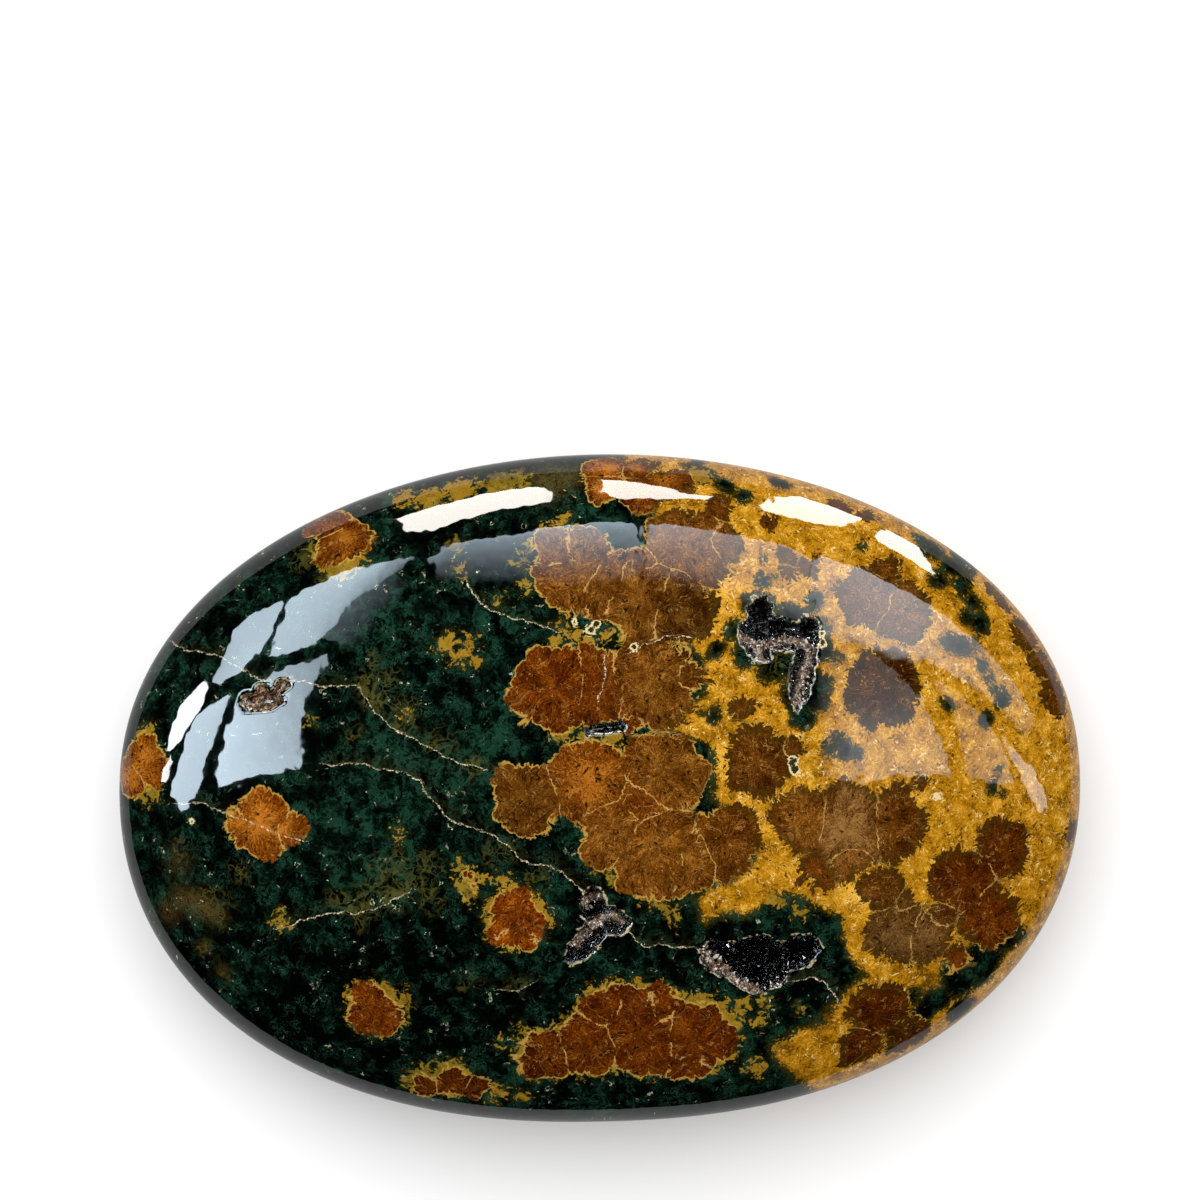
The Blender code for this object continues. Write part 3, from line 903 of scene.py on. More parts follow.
OLIVE_LUMPS = (
    (430, 498, 15), (462, 489, 17), (500, 482, 17), (520, 478, 12), (672, 474, 14), (700, 476, 12),
    (449, 643, 8), (462, 656, 8), (470, 642, 6), (455, 660, 5), (476, 660, 4), (445, 650, 4),
    (405, 496, 10), (519, 563, 5), (525, 586, 5), (545, 530, 6), (553, 527, 5), (530, 545, 5),
    (524, 552, 4), (566, 522, 5), (563, 624, 6), (571, 634, 5), (588, 642, 5), (606, 632, 5),
    (620, 622, 6), (624, 638, 5), (556, 642, 4), (640, 893, 5), (668, 910, 6), (655, 905, 4),
    (612, 880, 5), (604, 868, 4), (675, 918, 4), (598, 870, 4), (515, 918, 31), (546, 920, 6),
    (492, 905, 8), (373, 1008, 28), (402, 1000, 8), (398, 1020, 6), (466, 880, 11), (470, 893, 7),
    (460, 865, 4), (342, 560, 22), (318, 548, 8), (364, 540, 8), (455, 545, 7), (460, 568, 5),
    (644, 1030, 52), (696, 1036, 45), (608, 1010, 29), (546, 1056, 29), (592, 1044, 39),
    (755, 1068, 10), (782, 1048, 7), (800, 1062, 8), (722, 1020, 9), (738, 1008, 6), (500, 1092, 6),
    (522, 1096, 6), (490, 1100, 5), (450, 1080, 24), (425, 1082, 20), (520, 1032, 4),
    (500, 1042, 3), (405, 712, 4), (312, 718, 3), (279, 920, 7), (284, 926, 5), (145, 735, 12),
    (150, 790, 12), (586, 738, 7), (610, 742, 8), (398, 834, 4), (560, 733, 7), (600, 744, 6),
    (500, 600, 3), (800, 1010, 4), (500, 880, 5), (745, 900, 11), (770, 892, 9), (730, 905, 8),
    (725, 735, 8), (780, 900, 6), (801, 912, 6), (485, 880, 4), (760, 1020, 6), (748, 1002, 6),
    (764, 1004, 6),
)
NET_ZONES = (
    (378, 690, 22), (405, 712, 16), (372, 665, 10), (440, 745, 14), (470, 770, 12), (395, 880, 30),
    (362, 905, 20), (425, 868, 16), (430, 898, 14), (340, 900, 12), (352, 735, 8), (300, 560, 12),
    (470, 975, 9), (215, 905, 20), (520, 985, 7), (555, 476, 20), (330, 575, 12), (180, 850, 8),
    (500, 850, 14), (540, 880, 12), (240, 870, 12), (784, 662, 15), (205, 950, 8), (228, 978, 7),
)
PALE_RINGS = (
    (793, 762, 5.0), (795, 770, 4.0), (936, 797, 2.5), (941, 797, 2.5), (634, 647, 4.0),
    (821, 642, 4.5), (822, 634, 3.0), (590, 630, 4.5), (596, 624, 3.5), (574, 622, 3.0),
    (191, 821, 3.0),
)
# Pixel x and y, radius in pixels, and how much lighter or darker the colour is there
# Most are the rock's own tone; the darker patches near the bottom rim and on the lower right are painted
# shade
TONE_AND_SHADE_PATCHES = (
    (390, 640, 70, 0.20), (440, 740, 50, 0.16), (370, 820, 60, 0.30), (470, 860, 40, 0.10),
    (215, 880, 40, 0.08), (500, 1035, 30, 0.14), (395, 885, 40, 0.16), (290, 920, 40, 0.10),
    (300, 985, 90, -0.30), (370, 940, 40, -0.22), (430, 960, 34, -0.20), (250, 890, 30, -0.12),
    (520, 1005, 30, -0.20), (660, 930, 60, -0.20), (440, 1015, 40, -0.15), (560, 478, 22, 0.35),
    (1050, 900, 60, -0.12), (925, 985, 30, -0.32), (850, 930, 20, 0.05), (717, 765, 16, 0.60),
    (480, 520, 60, -0.25), (985, 810, 60, -0.07), (690, 1098, 50, -0.30), (590, 1100, 40, -0.30),
    (850, 1040, 60, -0.2), (856, 892, 18, 0.45), (722, 600, 22, 0.30), (945, 600, 30, -0.06),
)
# Pixel x and y, radius in pixels, and how much brown stain shows through the moss there
STAINS = (
    (168, 912, 12, 0.5), (182, 899, 12, 0.6), (200, 905, 12, 0.8), (216, 914, 10, 0.6), (204, 946, 8, 0.3),
    (222, 970, 8, 0.3), (550, 481, 20, 0.7), (574, 476, 14, 0.5), (178, 862, 14, 0.3),
)
print("pockets of moss:", len(GREEN_POCKETS), " olive lumps:", len(OLIVE_LUMPS))

# %% How far a point is from the ground's border, the lumps and the patches
# No line or patch matters further away than this, in millimetres
FAR = 9.0
FADE_START_OVER_GIRDLE = 0.5
FADE_HEIGHT = 4.0
UNDERSIDE_RIM = 0.5
# Size, wavelength and seed of the waves that draw the border on the underside
WILD_WAVES = ((3.0, 26.0, 21), (1.2, 9.0, 22))
WILD_SLOPE = -0.10


def border_distance(pixels, border):
    """Signed pixels from a closed border, negative inside: the least distance to its straight pieces,
    with the side found by counting how many pieces a ray to the right crosses."""
    start = np.array(border, float)
    run = np.roll(start, -1, axis=0) - start
    least, _ = chain_distance(pixels, start, run)
    above = pixels[:, None, 1] < start[None, :, 1]
    above_end = pixels[:, None, 1] < (start + run)[None, :, 1]
    level_run = np.where(run[:, 1] == 0, 1, run[:, 1])
    crossing_x = start[:, 0] + (pixels[:, None, 1] - start[:, 1]) / level_run * run[:, 0]
    crossings = ((above != above_end) & (pixels[:, None, 0] < crossing_x)).sum(axis=1)
    return np.where(crossings % 2 == 1, -least, least)


def balls_distance(points, rows):
    """Millimetres to the nearest of many balls given by pixel and radius in pixels."""
    rows = np.array(rows, float)
    middles = on_stone(rows[:, :2])
    radii = rows[:, 2] / PIXELS_PER_MM_ON_TOP
    return (np.linalg.norm(points[:, None, :] - middles[None], axis=-1) - radii).min(axis=1)


def ground_fields(points):
    """Distance into the mustard ground and to the olive lumps, in millimetres, negative inside. Below
    the girdle the drawn border gives way to plane waves, so the underside isn't the top's mirror image."""
    drawn = border_distance(in_picture(points), MUSTARD_BORDER) / PIXELS_PER_MM_ON_TOP
    wild = sum(size * plane_waves(points, wavelength, seed) for size, wavelength, seed in WILD_WAVES)
    wild = wild + WILD_SLOPE * points[:, 0]
    fade_start = GIRDLE_HEIGHT + FADE_START_OVER_GIRDLE
    under_share = np.clip((fade_start - points[:, 2]) / FADE_HEIGHT, 0, 1)
    mustard = drawn * (1 - under_share) + wild * under_share
    mustard = np.maximum(mustard, -balls_distance(points, GREEN_POCKETS))
    olive = np.minimum(balls_distance(points, OLIVE_LUMPS), FAR)
    under_offsets = points[:, None, :] - orb_centres[None, len(ORBS):]
    under_edges = np.linalg.norm(under_offsets, axis=-1) - orb_radii[len(ORBS):]
    return mustard, np.minimum(olive, under_edges.min(axis=1) - UNDERSIDE_RIM)


def patch_sum(points, rows):
    """The sum of soft patches: each one's amount times a bell curve of the distance from it."""
    rows = np.array(rows, float)
    apart = np.linalg.norm(points[:, None, :] - on_stone(rows[:, :2])[None], axis=-1)
    return (np.exp(-((apart / (rows[:, 2] / PIXELS_PER_MM_ON_TOP)) ** 2)) * rows[:, 3]).sum(axis=1)


print("mm to the mustard's border at pixel 800, 800:", ground_fields(on_stone([[800, 800]]))[0].round(2))

# %% Veins as chains of pixels
VEINS = {
    "left": (
        (172, 642), (188, 652), (209, 654), (229, 660), (250, 675), (266, 679), (287, 679), (303, 681),
        (324, 687), (357, 685), (373, 710), (394, 730), (414, 738), (431, 749), (460, 763), (480, 769),
    ),
    "main": (
        (328, 765), (357, 763), (381, 769), (406, 773), (420, 780), (431, 800), (447, 817), (468, 827),
        (497, 836), (507, 843), (520, 860), (533, 865), (552, 864), (572, 882), (585, 896), (593, 908),
    ),
    "to_lower": (
        (622, 925), (632, 937), (645, 947), (662, 944), (685, 948), (698, 948), (706, 962), (722, 970),
    ),
    "orb": ((180, 803), (205, 803), (225, 812), (246, 821), (262, 826), (281, 834), (301, 841)),
    "near_left": ((278, 928), (300, 921), (322, 915), (342, 911), (356, 914), (382, 905), (404, 893)),
    "dashes": ((500, 990), (516, 991), (531, 984)),
    "far": ((469, 583), (478, 599), (492, 611), (518, 619), (540, 625), (558, 631)),
    "right_tail": ((796, 980), (814, 977), (828, 984), (838, 1000)),
    "cluster": ((631, 652), (650, 643), (668, 637), (690, 637)),
    "inner": ((606, 657), (606, 672), (603, 688), (599, 702)),
}


def vein_fields(points):
    """Signed and plain millimetres to the nearest vein. The sign is the side of the vein, so the
    signed distance runs smoothly through zero on the line itself."""
    signed = np.full(len(points), FAR)
    for chain in VEINS.values():
        chain = on_stone(chain)
        start, run = chain[:-1], np.diff(chain, axis=0)
        least, nearest = chain_distance(points, start, run)
        to_start = points - start[nearest]
        side = np.sign(run[nearest, 0] * to_start[:, 1] - run[nearest, 1] * to_start[:, 0])
        signed = np.where(least < np.abs(signed), side * least, signed)
    return signed, np.abs(signed)


print(len(VEINS), "veins")

# %% Work out the numbers that the skin carries
WAVE_TO_NOISE = 0.25
DRIFT_WAVELENGTH = 1.2
DRIFT_SIZE = 0.3
BEND_WAVELENGTH = 4.0
BEND_SIZE = 0.32


def soft_noise(points, wavelength, seed):
    """Plane waves moved to lie around a half, as the shader's own noise does."""
    return 0.5 + WAVE_TO_NOISE * plane_waves(points, wavelength, seed, 24)


def wander(points, size, wavelength, seeds):
    """A small shift for each point that changes smoothly: three sets of plane waves times a size."""
    return size * np.stack([plane_waves(points, wavelength, seed, 24) for seed in seeds], axis=-1)


skin_x, skin_y, skin_z = skin_points.T
on_top = skin_z > GIRDLE_HEIGHT


def top_only(distances):
    """A distance kept on the top of the stone and no larger than far, and far everywhere else."""
    return np.where(on_top, np.minimum(distances, FAR), FAR)


lipped = [lobe for name, lobes in HOLLOWS.items() if name != "slit" for lobe in lobes]
drift_here = wander(skin_points, DRIFT_SIZE, DRIFT_WAVELENGTH, (45, 46, 47))
bend_here = wander(skin_points, BEND_SIZE, BEND_WAVELENGTH, (51, 52, 53))
orb_edge, orb_offset, orb_tones_here, orb_gap = orb_fields(skin_points + bend_here)
mustard_edge, olive_edge = ground_fields(skin_points)
vein_side, vein_size = vein_fields(skin_points)
fields = {
    "orb_edge": orb_edge,
    "orb_gap": orb_gap,
    "orb_brightness": orb_tones_here[:, 3],
    "mustard_edge": mustard_edge,
    "olive_edge": olive_edge,
    "vein_side": vein_side,
    "vein_size": vein_size,
    "net_edge": np.minimum(balls_distance(skin_points, NET_ZONES), FAR),
    "ring_edge": top_only(balls_distance(skin_points, PALE_RINGS)),
    "mouth_edge": top_only(mouth_distance(skin_x, skin_y, lipped)),
    "ridge_edge": top_only(ridge_distance(skin_x, skin_y)),
    "pit_edge": top_only(mouth_distance(skin_x, skin_y, HOLLOWS["left_pit"])),
    "depth": np.where(on_top, dome_height(skin_x, skin_y) - skin_z, 0.0),
    # The rock's own tone patches, with painted shade near the bottom rim and on the lower right
    "light": patch_sum(skin_points, TONE_AND_SHADE_PATCHES),
    "stain": patch_sum(skin_points, STAINS),
    "patch": (soft_noise(skin_points, 1.7, 41) * 2 + soft_noise(skin_points, 0.85, 42)) / 3,
    "cloud": soft_noise(skin_points, 6.0, 43),
    "wobble": soft_noise(skin_points, 2.6, 44),
}
# Three numbers share one stored vector, because a render spends its time on each attribute it fetches
field_groups = [list(fields)[k:k + 3] for k in range(0, len(fields), 3)]
vectors = {"_".join(group): np.stack([fields[name] for name in group], axis=-1) for group in field_groups}
vectors["orb_offset"] = orb_offset
vectors["orb_tone"] = orb_tones_here[:, :3]
vectors["drift"] = drift_here
print("inside an orb:", int((orb_edge < 0).sum()), " on mustard:", int((mustard_edge < 0).sum()))

# %% [markdown]
# ## The jasper's material
# Everything below the polish is opaque colour. Four zones lie over each other like sheets of paper:
# moss at the bottom, then the olive lumps, the mustard and the orbs, and on top of all the veins. Each
# zone has a colour of its own and a line that bounds it, a stored distance made ragged with noise.
#
# Wide, soft noise was stored on the mesh, where it costs nothing at render time. Only detail finer
# than the mesh is left to the shader.

# %% Coordinates and textures that several zones share
GLOSS_ROUGHNESS = 0.03
QUARTZ_IOR = 1.54
PER_MM = 1 / MM
ORB_CELL_REACH = 0.9
MOSS_CELLS_PER_MM = 1.15
ORB_CELLS_PER_MM = 0.62
SPOTS_PER_MM = 2.2
FRAY_SIZE = 0.40
FIBRE_STRETCH = 0.42

jasper = Shader("polished_ocean_jasper")
step, times, mix = jasper.step, jasper.times, jasper.mix


def centred(value, size):
    """A texture moved to run from minus half its size to plus half."""
    return jasper.math("MULTIPLY_ADD", value, size, -size / 2)


def total(*values):
    """The sum of several numbers."""
    sum_so_far = values[0]
    for value in values[1:]:
        sum_so_far = jasper.math("ADD", sum_so_far, value)
    return sum_so_far


def between(value, low, high):
    """Low where a share is zero and high where it is one."""
    return jasper.math("MULTIPLY_ADD", value, round(high - low, 6), low)


def thin_line(value, outside, inside):
    """One where a number is within inside of zero, and zero from outside on, on both sides."""
    return step(jasper.math("ABSOLUTE", value), outside, inside)


def ramp(level, dark, middle, light):
    """Dark at zero, middle at a half and light at one, read from a colour band."""
    band = jasper.node("ValToRGB")
    band.color_ramp.interpolation = "EASE"
    band.color_ramp.elements.new(0.5)
    for element, colour in zip(band.color_ramp.elements, (dark, middle, light)):
        element.color = (*colour, 1.0)
    jasper.feed(band.inputs["Fac"], level)
    return band.outputs["Color"]


def coat(under, mask, over, strength=1):
    """One colour laid over another where the mask is one, at the given strength."""
    return mix(mask if strength == 1 else times(mask, strength), under, over)


field = {}
for group in field_groups:
    field.update(zip(group, jasper.parts("SeparateXYZ", jasper.attribute("_".join(group), "Vector"))))
offset_vector = jasper.attribute("orb_offset", "Vector")
tone_vector = jasper.attribute("orb_tone", "Vector")
drift = jasper.attribute("drift", "Vector")
rustiness, greyness, paleness = jasper.parts("SeparateXYZ", tone_vector)
where = jasper.vector("SCALE", jasper.place(), PER_MM)
bent = jasper.vector("ADD", where, drift)
fray = jasper.noise(where, 3.6, 0.0, output="Color")
frayed = jasper.vector("ADD", bent, jasper.vector("SCALE", fray, FRAY_SIZE))

reach = jasper.vector("LENGTH", offset_vector)
orb_radius = jasper.math("SUBTRACT", reach, field["orb_edge"])
outward = jasper.vector("SCALE", jasper.vector("NORMALIZE", offset_vector), orb_radius)
outward = jasper.vector("ADD", outward, jasper.vector("SCALE", drift, 1.2))
streaked = jasper.vector("ADD", outward, jasper.vector("SCALE", offset_vector, FIBRE_STRETCH))

teeth = jasper.noise(outward, 4.2, 1.0, 0.6)
fibres = jasper.noise(streaked, 5.0, 3.0, 0.75)
grain = jasper.noise(frayed, 6.5, 2.0, 0.7)
hairs = jasper.noise(frayed, 1.9, 2.0, 0.6)
hair_lines = jasper.math("ABSOLUTE", centred(hairs, 2.0))
spots = jasper.cells(frayed, SPOTS_PER_MM)
spot_chance = jasper.parts("SeparateColor", spots["Color"])
near_orb = jasper.math("LESS_THAN", field["orb_edge"], ORB_CELL_REACH)
moss_cells = jasper.vector("SCALE", frayed, MOSS_CELLS_PER_MM)
cell_place = jasper.blend(near_orb, moss_cells, jasper.vector("SCALE", streaked, ORB_CELLS_PER_MM))
cells = jasper.cells(cell_place, 1.0)
cell_chance = jasper.parts("SeparateColor", cells["Color"])
cell_border = jasper.math("SUBTRACT", jasper.cells(cell_place, 1.0, "F2")["Distance"], cells["Distance"])
patch, cloud, wobble = field["patch"], field["cloud"], field["wobble"]


def spot(radius, chance, share):
    """Round spots of the given radius in part of the cells: one in the middle and zero outside."""
    chosen = step(chance, 1 - share, 1 - share + 0.01)
    return times(step(spots["Distance"], radius * 1.5, radius * 0.8), chosen)


print("shared textures ready:", len(jasper.nodes), "nodes")

# %% [markdown]
# ### Green moss
# The green is a moss of chlorite in clear quartz. It looks nearly black, because light gets lost in
# it, and shows rounded cells with teal walls, fine curved threads and a dust of pale grains. In each
# cell below, the colours come first and then the masks that they are laid on through, bottom first.

# %% Green moss: dark rounded cells, teal threads, pale dust
MOSS = ((0.0001, 0.0004, 0.0002), (0.0008, 0.0036, 0.0018), (0.0058, 0.0280, 0.0150))
TEAL_WALL = (0.0100, 0.0400, 0.0230)
TEAL_THREAD = (0.014, 0.052, 0.030)
OLIVE_NET = (0.075, 0.066, 0.013)
OLIVE_HAZE = (0.040, 0.040, 0.007)
BROWN_STAIN = (0.090, 0.058, 0.014)
PALE_GRAIN = (0.65, 0.68, 0.52)
GREEN_GRAIN = (0.030, 0.060, 0.034)
PALE_DASH = (0.36, 0.36, 0.22)

# The light field brings the rock's tone patches and painted shade near the bottom rim and lower right
moss_level = total(
    0.32,
    field["light"],
    centred(cell_chance[1], 0.50),
    centred(hairs, 1.7),
    centred(grain, 1.7),
    centred(patch, 1.1),
    centred(cloud, 0.9),
)
moss = ramp(moss_level, *MOSS)
moss = coat(moss, times(step(cell_border, 0.20, 0.0), step(moss_level, 0.3, 0.9)), TEAL_WALL, 0.50)
moss = coat(moss, times(step(hair_lines, 0.07, 0.0), step(patch, 0.46, 0.62)), TEAL_THREAD, 0.7)
olive_zone = step(total(field["net_edge"], centred(patch, 3.0)), 0.5, -0.7)
moss = coat(moss, times(olive_zone, step(cell_border, 0.12, 0.02)), OLIVE_NET, 0.55)
moss = coat(moss, times(field["stain"], step(grain, 0.30, 0.62)), BROWN_STAIN)
moss = coat(moss, times(olive_zone, step(hairs, 0.50, 0.64)), OLIVE_HAZE, 0.5)
dusty = step(patch, 0.47, 0.58)
moss = coat(moss, times(spot(0.11, spot_chance[0], 0.09), dusty), PALE_GRAIN)
moss = coat(moss, spot(0.18, spot_chance[1], 0.07), GREEN_GRAIN, 0.7)
dash = times(step(hair_lines, 0.08, 0.02), spot(0.36, spot_chance[2], 0.12))
moss = coat(moss, times(dash, dusty), PALE_DASH)
print("moss ready")

# %% [markdown]
# ### Mustard felt and olive lumps
# The mustard is a felt of tiny needles, so it is mottled at every size, with dark pinholes and cream
# curls. Where moss meets an orb, the rim breaks up into lumps like pieces of a jigsaw.

# %% Mustard felt, and the olive lumps between moss and orbs
MUSTARD = ((0.090, 0.036, 0.0010), (0.335, 0.145, 0.0035), (0.60, 0.315, 0.034))
PINHOLE = (0.030, 0.013, 0.002)
CREAM_CURL = (0.78, 0.58, 0.22)
OLIVE = ((0.075, 0.048, 0.003), (0.19, 0.128, 0.013), (0.32, 0.225, 0.036))
WARM_OLIVE = (0.235, 0.115, 0.006)
DARK_OLIVE = (0.060, 0.036, 0.004)

# The light field brings the rock's tone patches and painted shade near the bottom rim and lower right
felt_level = total(
    0.50,
    field["light"],
    centred(grain, 1.7),
    centred(fibres, 1.3),
    centred(hairs, 0.9),
    centred(patch, 1.2),
)
mustard = ramp(felt_level, *MUSTARD)
mustard = coat(mustard, spot(0.19, spot_chance[2], 0.28), PINHOLE, 0.95)
curl = times(step(hair_lines, 0.07, 0.02), spot(0.42, spot_chance[1], 0.40))
mustard = coat(mustard, curl, CREAM_CURL, 0.75)

# The light field brings the rock's tone patches and painted shade near the bottom rim and lower right
lump_level = total(
    0.55,
    field["light"],
    centred(cell_chance[0], 0.5),
    centred(grain, 0.8),
    centred(cloud, 1.0),
)
olive = ramp(lump_level, *OLIVE)
olive = coat(olive, step(cloud, 0.40, 0.65), WARM_OLIVE, 0.7)
olive = coat(olive, step(hair_lines, 0.08, 0.0), DARK_OLIVE, 0.65)
print("mustard and olive ready")

# %% [markdown]
# ### Orbs
# An orb is a bundle of fibres that grew outwards from one seed, in wedges. The noise is read in the
# direction from the seed, so it stretches into strokes that point outwards, and the seams between
# wedges show as thin pale or dark lines.

# %% Orbs: fibres in wedges around a paler middle, dark specks, pale seams
BROWNS = ((0.030, 0.0085, 0.0006), (0.105, 0.037, 0.0018), (0.30, 0.135, 0.018))
RUSTS = ((0.030, 0.0045, 0.0003), (0.105, 0.0195, 0.0005), (0.29, 0.075, 0.003))
GREY_BUFF = (0.21, 0.135, 0.060)
WEDGE_LINE = (0.30, 0.14, 0.025)
TAN_CURL = (0.42, 0.21, 0.05)
DARK_CURL = (0.014, 0.005, 0.0008)
DARK_CRACK = (0.012, 0.004, 0.0006)
DARK_SPECK = (0.010, 0.0035, 0.0006)
PALE_SEAM = (0.50, 0.29, 0.08)

middle_glow = times(step(jasper.math("DIVIDE", reach, orb_radius), 0.9, 0.0), paleness)
orb_level = total(
    0.42,
    centred(fibres, 2.2),
    centred(grain, 1.6),
    centred(cell_chance[0], 0.28),
    centred(patch, 0.9),
    times(middle_glow, 0.45),
)
brown = ramp(orb_level, *BROWNS)
rust = ramp(orb_level, *RUSTS)
orb = mix(rustiness, brown, rust)
orb = coat(orb, times(greyness, step(orb_level, 0.1, 0.9)), GREY_BUFF)
# Each orb's brightness, which carries painted shade for the orbs near the bottom rim and on the lower right
orb = jasper.vector("SCALE", orb, field["orb_brightness"])
orb = coat(orb, times(step(cell_border, 0.05, 0.0), step(cell_chance[1], 0.45, 0.55)), WEDGE_LINE, 0.40)
orb = coat(orb, times(step(hair_lines, 0.07, 0.02), spot(0.42, spot_chance[2], 0.42)), TAN_CURL, 0.50)
dark_curl = times(thin_line(total(hairs, -0.57), 0.035, 0.010), spot(0.44, spot_chance[1], 0.50))
orb = coat(orb, dark_curl, DARK_CURL, 0.85)
orb = coat(orb, times(step(cell_border, 0.045, 0.0), step(cell_chance[2], 0.62, 0.70)), DARK_CRACK, 0.75)
orb = coat(orb, spot(0.27, spot_chance[0], 0.17), DARK_SPECK, 0.95)
seam_place = total(field["orb_gap"], centred(hairs, 0.9), centred(grain, 0.25))
orb = coat(orb, times(thin_line(seam_place, 0.11, 0.02), step(patch, 0.42, 0.50)), PALE_SEAM, 0.8)
print("orbs ready")

# %% Put the zones together, from the ground up
MUSTARD_SHADE = (0.050, 0.040, 0.004)
OLIVE_SHADE = (0.040, 0.034, 0.004)
RIM_SHADE = (0.036, 0.019, 0.0015)
PALE_OUTLINE = (0.42, 0.25, 0.045)

mustard_line = total(
    field["mustard_edge"],
    centred(wobble, 1.5),
    centred(grain, 1.1),
    between(hair_lines, 0.30, -1.0),
)
on_mustard = step(mustard_line, 0.06, -0.06)
near_mustard = step(mustard_line, 0.75, -0.25)
olive_line = total(field["olive_edge"], centred(hairs, 3.4), centred(grain, 0.9))
on_olive = step(olive_line, 0.03, -0.03)
colour = coat(moss, near_mustard, MUSTARD_SHADE, 0.75)
colour = coat(colour, step(olive_line, 0.5, 0.0), OLIVE_SHADE, 0.35)
colour = coat(colour, on_olive, olive)
colour = coat(colour, on_mustard, mustard)
tooth_size = between(near_mustard, 0.35, 1.45)
bulge = between(step(cell_border, 0.25, 0.0), -0.12, 0.18)
orb_line = total(
    field["orb_edge"],
    centred(wobble, 1.5),
    centred(patch, 0.7),
    centred(grain, 0.35),
    times(centred(teeth, 1.0), tooth_size),
    bulge,
)
on_orb = step(orb_line, 0.04, -0.04)
orb = coat(orb, times(step(orb_line, -1.0, -0.1), times(near_mustard, 0.72)), RIM_SHADE)
colour = coat(colour, on_orb, orb)
outline = times(thin_line(orb_line, 0.13, 0.03), step(wobble, 0.34, 0.46))
outline = times(outline, between(near_mustard, 0.95, 0.05))
colour = coat(colour, outline, PALE_OUTLINE, 0.85)
print("zones ready:", len(jasper.nodes), "nodes")

# %% [markdown]
# ### Veins, rings and the walls of the hollows
# Late quartz filled the cracks as thin pale veins, stained yellow along one side. The same cream
# quartz makes small rings and a broken lip around each hollow. Inside, the wall is nearly black
# between the crystals, and brown in the small pit on the left.

# %% Veins of pale quartz and pale rings
YELLOW_STAIN = (0.085, 0.078, 0.016)
VEIN_SHADE = (0.20, 0.14, 0.05)
VEIN_CREAM = (0.74, 0.64, 0.44)
RING_MIDDLE = (0.022, 0.018, 0.006)
RING_CREAM = (0.66, 0.54, 0.28)

vein_place = total(field["vein_side"], centred(patch, 0.7), centred(hairs, 0.45), centred(grain, 0.22))
vein_line = jasper.math("ABSOLUTE", vein_place)
vein_near = step(field["vein_size"], 0.8, 0.5)
vein_haze = times(step(field["vein_side"], -0.15, 0.05), step(field["vein_side"], 1.3, 0.0))
vein_haze = times(vein_haze, between(olive_zone, 0.2, 1.0))
vein_haze = times(vein_haze, step(hairs, 0.38, 0.64))
colour = coat(colour, vein_haze, YELLOW_STAIN, 0.45)
vein_core = times(step(vein_line, 0.060, 0.010), vein_near)
vein_dash = step(grain, 0.42, 0.60)
vein_colour = mix(vein_dash, VEIN_SHADE, VEIN_CREAM)
colour = coat(colour, times(vein_core, between(vein_dash, 0.25, 0.90)), vein_colour)
ring_place = total(field["ring_edge"], centred(hairs, 0.7), centred(grain, 0.4))
colour = coat(colour, step(ring_place, 0.02, -0.04), RING_MIDDLE)
colour = coat(colour, thin_line(ring_place, 0.11, 0.04), RING_CREAM, 0.9)
print("veins ready")

# %% The lips and the stained walls of the hollows
LIP_CREAM = (0.50, 0.42, 0.26)
DRUZY_DARK = (0.03, 0.022, 0.016)
DRUZY_PALE = (0.34, 0.26, 0.19)
WALL_BLACK = (0.0010, 0.0012, 0.0010)
WALL_GLINT = (0.30, 0.28, 0.24)
PIT_BROWNS = ((0.006, 0.004, 0.002), (0.11, 0.060, 0.032), (0.46, 0.32, 0.20))

lip_place = total(field["mouth_edge"], -0.07, centred(grain, 0.3))
lip_mask = times(thin_line(lip_place, 0.09, 0.03), step(hairs, 0.46, 0.56))
colour = coat(colour, lip_mask, LIP_CREAM, 0.75)
druzy_wall = mix(step(grain, 0.40, 0.62), DRUZY_DARK, DRUZY_PALE)
squiggle = times(step(hair_lines, 0.06, 0.01), step(grain, 0.44, 0.58))
dark_wall = mix(squiggle, WALL_BLACK, WALL_GLINT)
crevice = total(0.34, centred(grain, 3.4), centred(hairs, 2.4))
brown_wall = ramp(crevice, *PIT_BROWNS)
wall = coat(dark_wall, step(field["ridge_edge"], 0.45, 0.08), druzy_wall)
wall = coat(wall, step(field["pit_edge"], 0.3, 0.0), brown_wall)
in_hollow = step(field["depth"], 0.04, 0.12)
colour = coat(colour, in_hollow, wall)
print("jasper colours ready:", len(jasper.nodes), "nodes")

# %% The polish
RIPPLE_HEIGHT = 0.012
WALL_ROUGHNESS = 0.11
roughness = between(in_hollow, GLOSS_ROUGHNESS, WALL_ROUGHNESS)
height = jasper.noise(where, 0.75, 1.0, 0.6)
ripple = jasper.node("Bump", {"Strength": 1.0, "Distance": RIPPLE_HEIGHT * MM, "Height": height})
jasper.set(Base_Color=colour, IOR=QUARTZ_IOR, Roughness=roughness, Normal=ripple.outputs["Normal"])
print("polish ready")

# %% Make the stone
stone = mesh_object("polished_jasper", skin_points, skin_faces, jasper.material)
for name, values in vectors.items():
    flat = np.ascontiguousarray(values, np.float32).ravel()
    stone.data.attributes.new(name, "FLOAT_VECTOR", "POINT").data.foreach_set("vector", flat)
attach(stone, "root")
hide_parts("stone")
print("stone ready")

# %% [markdown]
# ## The quartz lining
# The crystals are six-sided points a few tenths of a millimetre across, packed side by side. Each is
# a prism with a pyramid on its free end: a ring at the root, a ring at the shoulder and one tip. One
# array holds the corners of a single crystal, and broadcasting turns, scales and places all of them at
# once. They stand on the hollow's wall along its normal, with some disorder. Those on the ridges are
# milky and catch the light, the rest are clear and let the dark wall through.

# %% The shape of a crystal, many times over
CRYSTAL_SIDES = 6
SHOULDER_WIDTH = 0.9
SHOULDER_HEIGHT = 0.62


